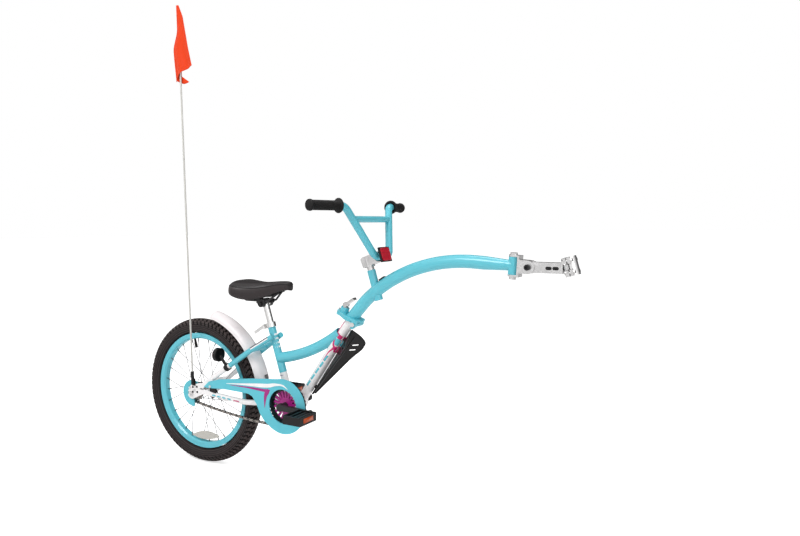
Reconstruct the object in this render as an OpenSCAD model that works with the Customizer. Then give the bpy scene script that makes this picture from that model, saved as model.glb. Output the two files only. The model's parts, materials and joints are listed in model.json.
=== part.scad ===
// Trailer bike: a child's bicycle rear end on a curved boom that hooks to another bicycle's seatpost.
// Side layout: x runs forward from the rear axle, h is the height above the ground, y is to the left.
// The model's origin is the middle of the hitch clamp's bore.

/* [Wheel] */
// Outside diameter of the tyre
wheel_d = 512; // [480:1:540]
// Width of the tyre
tyre_w = 54; // [46:1:58]
// Thickness of the tyre casing
tyre_wall = 3.5; // [2.5:0.5:5]
// Width of the rim
rim_w = 30; // [28:1:34]
// Depth of the rim from flange edge to inner face
rim_depth = 20; // [16:1:24]
// Number of spokes
spoke_count = 28; // [20:4:36]
// Diameter of a spoke
spoke_d = 2; // [1.8:0.1:2.3]
// Distance between the dropout plates
hub_width = 110; // [108:1:114]
// Diameter of the rear axle
axle_d = 10; // [9:0.5:12]
// Diameter of a hub flange
flange_d = 48; // [44:1:56]
// Angle of the tyre valve, from straight ahead
valve_angle = 103; // [100:0.5:106]

/* [Drive] */
// Pitch of the chain
pitch = 12.7; // [12.5:0.1:12.9]
// Teeth of the chainring
ring_teeth = 36; // [34:1:38]
// Teeth of the freewheel cog
cog_teeth = 16; // [14:1:18]
// Distance of the chain line from the middle of the bike
chain_line = 42; // [41:0.5:43]
// Sag of the lower chain run
chain_sag = 9; // [4:1:12]
// Bottom bracket ahead of the rear axle
bb_ahead = 402; // [396:1:410]
// Bottom bracket above the ground
bb_high = 264; // [256:1:272]
// Crank length
crank_len = 114; // [102:1:127]
// Angle of the near crank from straight ahead
crank_angle = -2; // [-10:1:10]
// Diameter of the crank spindle
spindle_d = 22; // [20:1:24]
// Width of a pedal
pedal_w = 80; // [70:1:90]
// Length of a pedal, front to back
pedal_l = 66; // [56:1:74]
// Thickness of a pedal
pedal_t = 26; // [22:1:30]
// Outer radius of the chain guard
guard_r = 89; // [86:1:94]
// Radius of the opening in the chain guard
guard_hole_r = 55; // [50:1:60]

/* [Frame] */
// Diameter of the seat tube
seat_tube_d = 25.4; // [25.2:0.1:28.6]
// Length of the seat tube above bottom bracket height
seat_tube_len = 268; // [255:1:285]
// Backward lean of the seat tube
seat_lean = 17.5; // [16:0.5:19]
// Diameter of the seatpost
post_d = 22.2; // [21:0.1:22.4]
// Seatpost showing above the seat tube
post_show = 67; // [60:1:90]
// Diameter of the top tube
top_tube_d = 35; // [30:0.5:36]
// Bend radius of the top tube
top_bend_r = 545; // [520:5:580]
// Diameter of the down tube
down_tube_d = 31.8; // [28:0.2:32]
// Angle of the down tube from level
down_angle = 55.2; // [54:0.2:57]
// Length of the down tube from bottom bracket height to the folding joint
down_len = 357.6; // [350:0.4:366]
// Diameter of the stays
stay_d = 18; // [16:0.5:18.5]
// Wall of the frame tubes
tube_wall = 1.6; // [1.2:0.1:2.2]

/* [Folding joint] */
// Downward tilt of the joint plates
hinge_tilt = 19.7; // [16:0.1:24]
// Thickness of each joint plate
plate_t = 6.5; // [6:0.5:8]
// Width of the joint plates
plate_w = 54; // [50:1:58]
// Diameter of the hinge pin
hinge_pin_d = 10; // [8:0.5:11]

/* [Boom] */
// Diameter of the boom tube
boom_d = 38.1; // [36:0.1:40]
// Angle of the boom where it leaves the joint
boom_rise = 48.5; // [47:0.5:50]
// Radius of the boom's main bend
boom_bend_r = 480; // [460:2:500]
// Slope at the boom's front end
boom_drop = 3.3; // [2:0.1:5]
// Length of the tapered front end
boom_taper = 83; // [70:1:95]
// Diameter of the handlebar mast
mast_d = 25.4; // [25:0.1:28]
// Mast above the boom's middle
mast_up = 64; // [56:1:72]
// Backward lean of the mast
mast_lean = 17; // [15:0.5:19]

/* [Handlebar] */
// Diameter of the handlebar
bar_d = 22.2; // [21:0.1:23]
// Rise from the clamp to the grips
bar_rise = 148; // [130:1:170]
// Half width of the handlebar
bar_half = 251; // [235:1:270]
// Length of a grip
grip_len = 104; // [95:1:112]
// Diameter of the stem quill
quill_d = 21.1; // [20.8:0.1:21.2]
// Distance from the quill to the handlebar
stem_reach = 49.7; // [45:0.1:60]

/* [Hitch] */
// Diameter of the seatpost that the clamp holds
clamp_bore = 27.2; // [25.4:0.2:28.6]
// Height of the clamp
clamp_h = 50; // [44:1:60]
// Wall of the clamp shells
clamp_wall = 6; // [5:0.5:8]
// Backward lean of the clamped seatpost
clamp_lean = 16; // [14:0.5:18]
// Diameter of the steering pin
kingpin_d = 12; // [10:0.5:13]
// Diameter of the tilt bolt
pitch_bolt_d = 10; // [8:0.5:12]
// Distance from the steering pin to the tilt bolt
yoke_reach = 45; // [43:1:52]
// Distance from the tilt bolt to the clamp
bar_reach = 110; // [104:1:130]

/* [Saddle] */
// Length of the saddle
saddle_len = 235; // [220:1:250]
// Half width of the saddle at the back
saddle_half = 75; // [65:1:85]
// Diameter of a saddle rail
rail_d = 7; // [6:0.5:7.5]

/* [Fender and flag] */
// Radius of the fender's crown
fender_r = 294; // [290:1:300]
// Width of the fender
fender_w = 57; // [50:1:60]
// Length of the flag pole
pole_len = 1272; // [1100:1:1400]
// Diameter of the flag pole
pole_d = 6; // [5:0.5:7]
// Height of the flag
flag_h = 250; // [200:1:280]

/* [Hidden] */
$fn = 48;

teal = "#5fc3d2";
white = "#f1eeee";
black = "#232224";
silver = "#c3c4c6";
magenta = "#a3167c";
red = "#b3152a";
orange = "#f04a1c";

// Gap between parts that turn or slide on each other, and gap between parts that only lie close
run_gap = 0.05;
seat_gap = 0.3;
// Margin by which a cutting shape passes the face that it cuts
over = 1;
// Hairline left where two runs of one tube meet, and the tenon that bridges it from inside
hairline = 0.02;
tenon = 0.6;

// Points of the side layout, as [x, h]
function along(a) = [cos(a), sin(a)];
function lift(p, y = 0) = [p[0], y, p[1]];
axle = [0, wheel_d / 2];
bb = [bb_ahead, bb_high];
seat_foot = bb - [16, 0];
seat_dir = [-sin(seat_lean), cos(seat_lean)];
function seat_at(s) = seat_foot + s * seat_dir;
seat_top = seat_at(seat_tube_len);
saddle_at = seat_at(seat_tube_len + post_show);
down_foot = bb + [21, 0];
down_dir = along(down_angle);
hinge = down_foot + down_len * down_dir;
// Forward side of the down tube
down_front = [down_dir[1], -down_dir[0]];

// The boom runs straight, bends a little, bends through its main arc and runs straight again
boom_first = 56;
boom_knee = 8.4;
boom_knee_r = 314;
boom_last = 27.7;
boom_start = hinge + [-1.6, -2.1];
boom_turn = boom_rise - boom_knee;
boom_a = boom_start + boom_first * along(boom_rise);
boom_b_mid = boom_a + boom_knee_r * [sin(boom_rise), -cos(boom_rise)];
boom_b = boom_b_mid + boom_knee_r * [-sin(boom_turn), cos(boom_turn)];
boom_mid = boom_b + boom_bend_r * [sin(boom_turn), -cos(boom_turn)];
function boom_at(slope) = boom_mid + boom_bend_r * [-sin(slope), cos(slope)];
boom_c = boom_at(-boom_drop);
boom_d_end = boom_c + boom_last * along(-boom_drop);
kingpin_at = boom_d_end + boom_taper * along(-boom_drop);
pitch_at = kingpin_at + yoke_reach * along(-boom_drop);
hitch = pitch_at + [bar_reach, 5.6];
mast_at = boom_at(boom_turn - 3);

// Fixed sizes of the small hardware
sleeve_d = 27;
sleeve_h = 48;
strip_t = 5;
yoke_half = 18;
ear_t = 4.8;
latch_u = -33;
latch_bolt_d = 8;
boss_h = 15;
pin_u = 22.5;
pin_w = -9.7;
knuckle_r = 9.2;
ear_in = 16.5;
ear_out = 24.5;
nut_af = 17;

module lay() translate([-hitch[0], 0, -hitch[1]]) children();

// An outline drawn in the side view, made t thick about the plane y
module side(t, y = 0) translate([0, y + t / 2, 0]) rotate([90, 0, 0]) linear_extrude(t) children();

// A round bar across the bike, between y0 and y1, at side point p
module across(p, d, y0, y1)
    translate([p[0], max(y0, y1), p[1]]) rotate([90, 0, 0]) cylinder(d = d, h = abs(y1 - y0));

// A hexagon across the bike, by its width over the flats
module hex_across(p, af, y0, y1)
    translate([p[0], max(y0, y1), p[1]]) rotate([90, 0, 0])
        cylinder(d = af / cos(30), h = abs(y1 - y0), $fn = 6);

module rod(p, q, d) {
    v = q - p;
    translate(p) rotate([0, acos(v[2] / norm(v)), atan2(v[1], v[0])]) cylinder(d = d, h = norm(v));
}

function unit(v) = v / norm(v);
function turn_of(a, b, c) = acos(max(-1, min(1, unit(b - a) * unit(c - b))));
function setback(a, b, c, r) = r * tan(turn_of(a, b, c) / 2);

// The tenon inside a tube of diameter d, at point p of a run in direction u
module join_at(p, u, d) rod(p - 1.5 * u, p + 1.5 * u, d - tenon);

// The bend of a tube at corner b, on its way from a to c
module bend(a, b, c, d, r) {
    u = unit(b - a);
    v = unit(c - b);
    n = unit(v - (u * v) * u);
    k = cross(u, n);
    m = b - u * setback(a, b, c, r) + r * n;
    multmatrix([[-n[0], u[0], k[0], m[0]], [-n[1], u[1], k[1], m[1]],
                [-n[2], u[2], k[2], m[2]], [0, 0, 0, 1]])
        rotate_extrude(angle = turn_of(a, b, c)) translate([r, 0]) circle(d = d);
}

// A round tube through a list of points, bent at radius r
module bent(pts, d, r) {
    n = len(pts);
    for (i = [0 : n - 2]) {
        u = unit(pts[i + 1] - pts[i]);
        from = i > 0 ? pts[i] + u * setback(pts[i - 1], pts[i], pts[i + 1], r) : pts[i];
        to = i < n - 2 ? pts[i + 1] - u * setback(pts[i], pts[i + 1], pts[i + 2], r) : pts[i + 1];
        rod(from + (i > 0 ? hairline : 0) * u, to - (i < n - 2 ? hairline : 0) * u, d);
        if (i > 0) join_at(from, u, d);
        if (i < n - 2) join_at(to, u, d);
    }
    for (i = [1 : n - 2]) bend(pts[i - 1], pts[i], pts[i + 1], d, r);
}

// A round tube on an arc in the side view, from angle a0 to a1 round centre c
module side_arc(c, r, a0, a1, d)
    translate(lift(c)) rotate([90, 0, 0]) rotate([0, 0, a0])
        rotate_extrude(angle = a1 - a0, $fn = 192) translate([r, 0]) circle(d = d, $fn = 48);

module both() {
    children();
    mirror([0, 1, 0]) children();
}

// A closed solid through rings of equally many points, each ring running out and back again
module loft(rings) {
    n = len(rings[0]);
    last = (len(rings) - 1) * n;
    pts = [for (r = rings) each r];
    faces = [
        for (i = [0 : len(rings) - 2]) for (j = [0 : n - 1])
            each [[i * n + j, (i + 1) * n + j, i * n + (j + 1) % n],
                  [i * n + (j + 1) % n, (i + 1) * n + j, (i + 1) * n + (j + 1) % n]],
        for (j = [0 : n / 2 - 2]) each [[j, j + 1, n - 2 - j], [j, n - 2 - j, n - 1 - j]],
        for (j = [0 : n / 2 - 2]) each [[last + j + 1, last + j, last + n - 2 - j],
                                        [last + n - 2 - j, last + j, last + n - 1 - j]]];
    polyhedron(pts, faces, convexity = 6);
}

// Local frames: the joint plates, the steering pin, the mast and the clamp
module at_hinge() translate(lift(hinge)) rotate([0, hinge_tilt, 0]) children();
module at_kingpin() translate(lift(kingpin_at)) rotate([0, boom_drop, 0]) children();
module at_mast() translate(lift(mast_at)) rotate([0, -mast_lean, 0]) children();
module at_clamp() translate(lift(hitch)) rotate([0, -clamp_lean, 0]) children();

// Hitch: the bar with the rear shell welded on its end
flange_half = clamp_bore / 2 + clamp_wall + 11;
flange_t = 9;
shell_split = 1.5;
clamp_bolt_d = 6;
clamp_bolt_z = clamp_h * 0.31;
clamp_bolt_y = clamp_bore / 2 + clamp_wall + 4;
bar_h = 28.5;
bar_w = 2 * (yoke_half - ear_t) - 2 * seat_gap;

module shell_half(sign) difference() {
    union() {
        translate([0, 0, -clamp_h / 2]) cylinder(d = clamp_bore + 2 * clamp_wall, h = clamp_h);
        translate([0, 0, -clamp_h / 2]) intersection() {
            translate([sign > 0 ? 0 : -flange_t, -flange_half, 0])
                cube([flange_t, 2 * flange_half, clamp_h]);
            rotate([90, 0, 90]) translate([0, 0, -flange_t])
                linear_extrude(2 * flange_t) union() for (z = [-1, 1])
                    translate([0, clamp_h / 2 + z * clamp_bolt_z]) union() {
                        square([2 * clamp_bolt_y, clamp_h - 2 * clamp_bolt_z], center = true);
                        for (y = [-1, 1]) translate([y * clamp_bolt_y, 0])
                            circle(d = clamp_h - 2 * clamp_bolt_z);
                    }
        }
    }
    translate([sign > 0 ? -clamp_h : -shell_split, -clamp_h, -clamp_h])
        cube([clamp_h + shell_split, 2 * clamp_h, 2 * clamp_h]);
    translate([0, 0, -clamp_h / 2 - over]) cylinder(d = clamp_bore, h = clamp_h + 2 * over);
    for (y = [-1, 1]) for (z = [-1, 1]) translate([-clamp_h, y * clamp_bolt_y, z * clamp_bolt_z])
        rotate([0, 90, 0]) cylinder(d = clamp_bolt_d + 2 * run_gap, h = 2 * clamp_h);
}

module hitch_bar() lay() color(silver) difference() {
    union() {
        difference() {
            side(bar_w) union() {
                translate(pitch_at) circle(d = bar_h);
                translate(pitch_at - [0, bar_h / 2]) square([bar_reach - 18, bar_h]);
            }
            at_clamp() translate([-shell_split - 8, -50, -50]) cube(100);
            for (i = [0, 1]) side(2 * bar_w)
                translate(pitch_at + [bar_reach * (0.5 + 0.17 * i), -1]) union() {
                square([8, 9], center = true);
                for (s = [-1, 1]) translate([4 * s, 0]) circle(d = 9);
            }
        }
        at_clamp() shell_half(-1);
    }
    across(pitch_at, pitch_bolt_d + 2 * run_gap, -bar_w, bar_w);
    at_clamp() translate([0, 0, -clamp_h / 2 - over]) cylinder(d = clamp_bore, h = clamp_h + 2 * over);
}

module clamp_shell() lay() color(silver) at_clamp() shell_half(1);

module clamp_bolts() lay() color(silver) at_clamp()
    for (y = [-1, 1]) for (z = [-1, 1])
        translate([0, y * clamp_bolt_y, z * clamp_bolt_z]) rotate([0, 90, 0]) {
        translate([0, 0, -flange_t - 4]) cylinder(d = clamp_bolt_d, h = 2 * flange_t + 4);
        translate([0, 0, flange_t]) difference() {
            cylinder(d = 10, h = 5);
            translate([0, 0, 2]) cylinder(d = 5.8, h = 5, $fn = 6);
        }
        translate([0, 0, -flange_t - 5]) cylinder(d = 11, h = 5, $fn = 6);
    }

// Yoke: turns on the steering pin, carries the tilt bolt
yoke_back = sleeve_d / 2 + 2;
module yoke_bracket() lay() color(silver) at_kingpin() difference() {
    union() {
        translate([yoke_back, -yoke_half, -sleeve_h / 2 - seat_gap - strip_t])
            cube([strip_t, 2 * yoke_half, sleeve_h + 2 * seat_gap + 2 * strip_t]);
        for (s = [-1, 1]) translate([0, 0, s * (sleeve_h / 2 + seat_gap + strip_t / 2)]) union() {
            cylinder(d = sleeve_d, h = strip_t, center = true);
            translate([0, -sleeve_d / 2, -strip_t / 2]) cube([yoke_back + 1, sleeve_d, strip_t]);
        }
        for (s = [-1, 1]) side(ear_t, s * (yoke_half - ear_t / 2)) union() {
            translate([yoke_reach, 0]) circle(r = yoke_half);
            translate([yoke_back + 1, -yoke_half]) square([yoke_reach - yoke_back - 1, 2 * yoke_half]);
        }
    }
    translate([0, 0, -sleeve_h]) cylinder(d = kingpin_d, h = 2 * sleeve_h);
    across([yoke_reach, 0], pitch_bolt_d, -2 * yoke_half, 2 * yoke_half);
}

module pitch_bolt() lay() color(black) union() {
    across(pitch_at, pitch_bolt_d, -yoke_half - 3, yoke_half + 9);
    difference() {
        across(pitch_at, 16, -yoke_half - 8, -yoke_half);
        hex_across(pitch_at, 8, -yoke_half - 9, -yoke_half - 3);
    }
    difference() {
        hex_across(pitch_at, nut_af, yoke_half, yoke_half + 8);
        across(pitch_at, pitch_bolt_d + 2 * run_gap, yoke_half - over, yoke_half + 10);
    }
}

module kingpin() lay() color(silver) at_kingpin() {
    top = sleeve_h / 2 + seat_gap + strip_t;
    translate([0, 0, -top - 6]) cylinder(d = kingpin_d, h = 2 * top + 6);
    translate([0, 0, top]) cylinder(d = 20, h = 6);
    difference() {
        translate([0, 0, -top - 8]) cylinder(d = 20, h = 8, $fn = 6);
        translate([0, 0, -top - 9]) cylinder(d = kingpin_d + 2 * run_gap, h = 12);
    }
}

// Boom
module boom_run(d) {
    rod(lift(boom_start - 6 * along(boom_rise)), lift(boom_a - hairline * along(boom_rise)), d);
    side_arc(boom_b_mid, boom_knee_r, 90 + boom_turn, 90 + boom_rise, d);
    side_arc(boom_mid, boom_bend_r, 90 - boom_drop, 90 + boom_turn - 0.003, d);
    rod(lift(boom_c + hairline * along(-boom_drop)), lift(boom_d_end), d);
    join_at(lift(boom_a), lift(along(boom_rise)), d);
    join_at(lift(boom_b), lift(along(boom_turn)), d);
    join_at(lift(boom_c), lift(along(-boom_drop)), d);
}

module boom_tube() lay() color(teal) difference() {
    union() {
        difference() {
            union() {
                boom_run(boom_d);
                at_kingpin() rotate([0, 90, 0]) translate([0, 0, hairline - boom_taper])
                    cylinder(d1 = boom_d, d2 = 28, h = boom_taper);
                join_at(lift(boom_d_end), lift(along(-boom_drop)), boom_d);
            }
            boom_run(boom_d - 2 * tube_wall);
        }
        at_kingpin() cylinder(d = sleeve_d, h = sleeve_h, center = true);
    }
    at_kingpin() cylinder(d = kingpin_d + 2 * run_gap, h = 2 * sleeve_h, center = true);
    at_kingpin() difference() {
        translate([0, -30, -30]) cube(60);
        cylinder(d = sleeve_d, h = 80, center = true);
    }
    at_mast() cylinder(d = mast_d, h = 3 * boom_d, center = true);
    at_hinge() translate([-80, -40, plate_t - 80]) cube([160, 80, 80]);
}

mast_down = 29;
module bar_mast() lay() color(teal) at_mast() translate([0, 0, -mast_down]) difference() {
    cylinder(d = mast_d, h = mast_up + mast_down);
    translate([0, 0, -over]) cylinder(d = quill_d + 2 * run_gap, h = mast_up + mast_down + 2 * over);
}

plate_back = -56;
plate_front = 40;
small_bolt_in = 5;
module hinge_ear(s) side(ear_out - ear_in, s * (ear_in + ear_out) / 2) union() {
    translate([pin_u, pin_w]) circle(r = knuckle_r);
    translate([pin_u - knuckle_r, pin_w]) square([2 * knuckle_r, -pin_w + over]);
}

module hinge_upper_plate() lay() color(teal) at_hinge() difference() {
    union() {
        intersection() {
            translate([plate_back, -plate_w / 2, 0]) cube([plate_front - plate_back, plate_w, plate_t]);
            union() {
                translate([-6, 0, 0]) cylinder(d = plate_w, h = plate_t);
                translate([plate_back + 15, 0, 0]) cylinder(r = 15, h = plate_t);
                linear_extrude(plate_t) polygon([[plate_back + 18, -14.5], [plate_back + 18, 14.5],
                    [-12, plate_w / 2 - 0.8], [24, ear_out], [24, -ear_out], [-12, -plate_w / 2 + 0.8]]);
                translate([plate_front - 18, 0, 0]) cylinder(r = 18, h = plate_t);
                translate([12, -ear_out, 0]) cube([20, 2 * ear_out, plate_t]);
            }
        }
        translate([latch_u, 0, 0]) cylinder(r = 13.5, h = plate_t + boss_h);
        for (s = [-1, 1]) hinge_ear(s);
    }
    translate([latch_u, 0, -over]) cylinder(d = latch_bolt_d + 2 * run_gap, h = 60);
    translate([plate_back + small_bolt_in, 0, -over]) cylinder(d = 5, h = 60);
    across([pin_u, pin_w], hinge_pin_d + 2 * run_gap, -40, 40);
}

module hinge_lower_plate() lay() color(teal) difference() {
    union() {
        at_hinge() difference() {
            translate([0, 0, -plate_t]) union() {
                translate([-6, 0, 0]) cylinder(d = plate_w, h = plate_t - seat_gap);
                translate([plate_back + 15, 0, 0]) cylinder(r = 15, h = plate_t - seat_gap);
                linear_extrude(plate_t - seat_gap) polygon([[plate_back + 18, -14.5], [plate_back + 18, 14.5],
                    [-12, plate_w / 2 - 0.8], [10, plate_w / 2 - 6], [10, -plate_w / 2 + 6],
                    [-12, -plate_w / 2 + 0.8]]);
            }
            translate([pin_u - knuckle_r - 1.2, -50, -50]) cube(100);
        }
        at_hinge() side(2 * (ear_in - seat_gap)) union() {
            translate([pin_u, pin_w]) circle(r = knuckle_r);
            translate([0, pin_w]) square([pin_u, -pin_w - seat_gap]);
        }
        at_hinge() side(14)
            polygon([[pin_u + 4, pin_w - 6], [pin_u - 8, pin_w - 22], [-14, pin_w - 20], [0, pin_w]]);
    }
    rod(lift(down_foot), lift(hinge), down_tube_d);
    at_hinge() {
        translate([latch_u + 2, 0, -30]) cylinder(d = latch_bolt_d + 3, h = 40);
        translate([plate_back - 10, -latch_bolt_d / 2 - 1.5, -30])
            cube([latch_u + 12 - plate_back, latch_bolt_d + 3, 40]);
        across([pin_u, pin_w], hinge_pin_d + 2 * run_gap, -40, 40);
    }
}

module hinge_pin() lay() color(silver) at_hinge() {
    across([pin_u, pin_w], hinge_pin_d, -ear_out - 2, ear_out + 2);
    across([pin_u, pin_w], 14, -ear_out - 5, -ear_out - seat_gap);
    across([pin_u, pin_w], 14, ear_out + seat_gap, ear_out + 5);
}

pad_slope = boom_turn - 7.4;
pad_len = 20;
pad_w = 12;
module boom_pad() lay() color(black)
    translate(lift(boom_at(pad_slope))) rotate([0, -pad_slope, 0]) difference() {
    translate([-pad_len / 2, -pad_w / 2, boom_d / 2 - 1]) cube([pad_len, pad_w, 4.5]);
    rotate([0, 90, 0]) cylinder(d = boom_d, h = 2 * pad_len, center = true);
}

// Latch: a cam lever on a bolt through both plates
cam_w = plate_t + boss_h + 9.5;
module latch_bolt() lay() color(silver) at_hinge() {
    translate([latch_u, 0, -plate_t]) cylinder(d = latch_bolt_d, h = plate_t + cam_w - 4.5);
    difference() {
        side(8) translate([latch_u, cam_w]) circle(d = 14);
        across([latch_u, cam_w], 6, -10, 10);
    }
    translate([plate_back + small_bolt_in, 0, 0]) cylinder(d = 5, h = plate_t);
    translate([plate_back + small_bolt_in, 0, plate_t]) cylinder(d = 8, h = 4.5);
    translate([latch_u, 0, plate_t + boss_h]) difference() {
        cylinder(d = 16, h = 1.6);
        translate([0, 0, -over]) cylinder(d = latch_bolt_d, h = 4);
    }
}

module latch_lever() lay() color(silver) at_hinge() {
    across([latch_u, cam_w], 6 - 2 * run_gap, -8, 8);
    for (s = [-1, 1]) side(5, s * 6.8) translate([latch_u, cam_w]) circle(d = 15.5);
    difference() {
        translate([latch_u, 0, cam_w]) rotate([0, -52, 0]) translate([0, -9.3, -4]) cube([36, 18.6, 8]);
        across([latch_u, cam_w], 15.6, -4.3, 4.3);
    }
}

// Stem and handlebar
clamp_z = 94.3;
stem_w = 30;
wedge_angle = 30;
module stem_body() lay() color(silver) at_mast() difference() {
    union() {
        translate([0, 0, 10]) cylinder(d = quill_d, h = clamp_z - 14);
        translate([0, 0, clamp_z - 20]) cylinder(d = 31, h = 32);
        side(stem_w) union() {
            translate([stem_reach, clamp_z]) circle(d = bar_d + 13);
            polygon([[-17, clamp_z - 18], [-19, clamp_z + 9], [-12, clamp_z + 14], [14, clamp_z + 15],
                     [stem_reach, clamp_z + 12], [stem_reach, clamp_z - 12], [16, clamp_z - 16]]);
        }
    }
    across([stem_reach, clamp_z], bar_d + 2 * run_gap, -40, 40);
    side(2 * stem_w) translate([stem_reach, clamp_z - 22]) square([2.4, 22]);
    cylinder(d = 8.2, h = 2 * clamp_z);
    translate([0, 0, clamp_z + 6]) cylinder(d = 14, h = 40);
    rotate([0, wedge_angle, 0]) translate([-40, -40, -28]) cube([80, 80, 24]);
}

module stem_bolts() lay() color(black) at_mast() {
    translate([0, 0, -18]) cylinder(d = 8, h = clamp_z + 24);
    translate([0, 0, clamp_z + 6]) difference() {
        cylinder(d = 13, h = 7);
        translate([0, 0, 3]) cylinder(d = 7, h = 6, $fn = 6);
    }
    difference() {
        translate([0, 0, -20]) cylinder(d = quill_d, h = 36);
        rotate([0, wedge_angle, 0]) translate([-40, -40, -3.6]) cube([80, 80, 60]);
        translate([0, 0, -25]) cylinder(d = 8, h = 60);
    }
}

bar_at = [mast_at[0] + stem_reach * cos(mast_lean) - clamp_z * sin(mast_lean),
          mast_at[1] + stem_reach * sin(mast_lean) + clamp_z * cos(mast_lean)];
bar_lower = [0, 41, 0];
bar_upper = [-0.34 * bar_rise, 125, bar_rise];
bar_sweep = 12.5;
bar_tip = bar_upper + (bar_half - bar_upper[1]) * [-tan(bar_sweep), 1, 0];
bar_bend = 30;
function flip(p) = [p[0], -p[1], p[2]];
bar_path = [flip(bar_tip), flip(bar_upper), flip(bar_lower), bar_lower, bar_upper, bar_tip];
cross_share = 0.74;
cross_d = 19;
cross_end = bar_lower + cross_share * (bar_upper - bar_lower);
bar_wall = 1.8;

module handlebar() lay() color(teal) translate(lift(bar_at)) {
    difference() {
        bent(bar_path, bar_d, bar_bend);
        bent(bar_path, bar_d - 2 * bar_wall, bar_bend);
    }
    difference() {
        rod(flip(cross_end), cross_end, cross_d);
        for (s = [-1, 1]) rod([bar_lower[0], s * bar_lower[1], 0], [bar_upper[0], s * bar_upper[1], bar_rise],
            bar_d - bar_wall);
    }
}

grip_dir = unit(bar_tip - bar_upper);
module grips() lay() color(black) translate(lift(bar_at)) both() difference() {
    union() {
        rod(bar_tip - grip_len * grip_dir, bar_tip + 3 * grip_dir, bar_d + 6);
        rod(bar_tip - (grip_len + 3) * grip_dir, bar_tip - grip_len * grip_dir, bar_d + 21);
        rod(bar_tip - 3 * grip_dir, bar_tip + 5 * grip_dir, bar_d + 10);
        for (i = [1 : 9]) rod(bar_tip - i * 10 * grip_dir, bar_tip - (i * 10 - 3) * grip_dir, bar_d + 8);
    }
    rod(bar_tip - 2 * grip_len * grip_dir, bar_tip + 0.2 * grip_dir, bar_d + 2 * run_gap);
}

// Front reflector, clamped on the handlebar beside the stem
reflector_y = -26;
reflector_w = 56;
reflector_h = 44;
reflector_x = 22;
strap_in = 15.3;
strap_out = 22.8;
module bar_reflector() lay() color(black) translate(lift(bar_at)) difference() {
    union() {
        across([0, 0], bar_d + 7, -strap_out, -strap_in);
        rotate([0, -mast_lean, 0]) translate([8, -strap_out + 0.6, -5])
            cube([reflector_x - 6, strap_out - strap_in - 1.2, 10]);
        rotate([0, -mast_lean, 0]) translate([reflector_x, reflector_y - reflector_w / 2, -reflector_h / 2])
            cube([6, reflector_w, reflector_h]);
    }
    rotate([0, -mast_lean, 0])
        translate([reflector_x + 2.5, reflector_y - reflector_w / 2 + 2.5, -reflector_h / 2 + 2.5])
            cube([8, reflector_w - 5, reflector_h - 5]);
    across([0, 0], bar_d + 2 * run_gap, -60, 0);
    rotate([0, -mast_lean, 0]) translate([-22, -60, -0.8]) cube([14, 60, 1.6]);
}

module bar_reflector_lens() lay() color(red) translate(lift(bar_at)) rotate([0, -mast_lean, 0])
    translate([reflector_x + 2.5, reflector_y - reflector_w / 2 + 2.8, -reflector_h / 2 + 2.8])
        cube([5, reflector_w - 5.6, reflector_h - 5.6]);

// Rear frame
top_root = 0.552 * seat_tube_len;
top_rise = 9;
top_end = 37;
top_at = seat_at(top_root);
top_mid = top_at + top_bend_r * [-sin(top_rise), cos(top_rise)];
shell_d = 57.5;
shell_w = 68;
shell_bore = 51;

module seat_tube_solid(d) rod(lift(seat_at(-5)), lift(seat_top), d);
module shell_solid() across(bb, shell_d, -shell_w / 2, shell_w / 2);

module down_tube() lay() color(white) difference() {
    rod(lift(down_foot - 20 * down_dir), lift(hinge), down_tube_d);
    rod(lift(down_foot - 40 * down_dir), lift(hinge + 20 * down_dir), down_tube_d - 2 * tube_wall);
    shell_solid();
    at_hinge() translate([-80, -40, -plate_t]) cube([160, 80, 80]);
}

module top_tube() lay() color(teal) difference() {
    side_arc(top_mid, top_bend_r, top_rise - 90, top_end - 90, top_tube_d);
    side_arc(top_mid, top_bend_r, top_rise - 91, top_end - 89, top_tube_d - 2 * tube_wall);
    seat_tube_solid(seat_tube_d);
    rod(lift(down_foot), lift(hinge + 20 * down_dir), down_tube_d);
    translate(lift(seat_at(top_root))) rotate([0, -seat_lean, 0])
        translate([-60, -40, -60]) cube([60, 80, 120]);
    at_hinge() translate([-80, -40, -plate_t]) cube([160, 80, 80]);
    rod(lift(down_foot + 14 * down_front), lift(hinge + 14 * down_front), down_tube_d - 2);
}

module seat_tube() lay() color(teal) difference() {
    seat_tube_solid(seat_tube_d);
    rod(lift(seat_at(-40)), lift(seat_at(seat_tube_len + 5)), post_d + 2 * run_gap);
    shell_solid();
    translate(lift(seat_top)) rotate([0, -seat_lean, 0]) translate([-30, -1, -26]) cube([30, 2, 40]);
}

module bb_shell() lay() color(white) difference() {
    shell_solid();
    across(bb, shell_bore, -shell_w, shell_w);
}

module bb_cups() lay() color(silver) for (s = [-1, 1]) difference() {
    union() {
        across(bb, shell_bore, s * (shell_w / 2 - 10), s * shell_w / 2);
        across(bb, shell_d - 1, s * shell_w / 2, s * (shell_w / 2 + 2));
    }
    across(bb, spindle_d + 2 * run_gap, -60, 60);
}

// The stays are straight in the side view and lean inwards past the wheel
stay_y = 59;
stay_edge = 60;
stay_foot = axle + [45, 29];
stay_knee = axle + [257, 174];
stay_head = seat_at(seat_tube_len - 46) + [12, 2];
seat_stay = [lift(stay_foot, -stay_y), lift(stay_knee, -42),
             lift(stay_head, -seat_tube_d / 2 - stay_d / 2 + 0.4)];
chain_foot = axle + [55, 12];
chain_stay = [lift(chain_foot, -stay_y), lift(bb - [173, 13], -43),
              lift(bb - [90, 9], -27.5), lift(bb - [10, 6], -23)];

module outer_crimp(x) translate([x - 60, -stay_edge - 60, -600]) cube([60 + 55, 60, 2000]);

module seat_stay_solid() difference() {
    bent(seat_stay, stay_d, 90);
    outer_crimp(stay_foot[0]);
}
module chain_stay_solid() difference() {
    bent(chain_stay, stay_d, 110);
    outer_crimp(chain_foot[0]);
}

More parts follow.
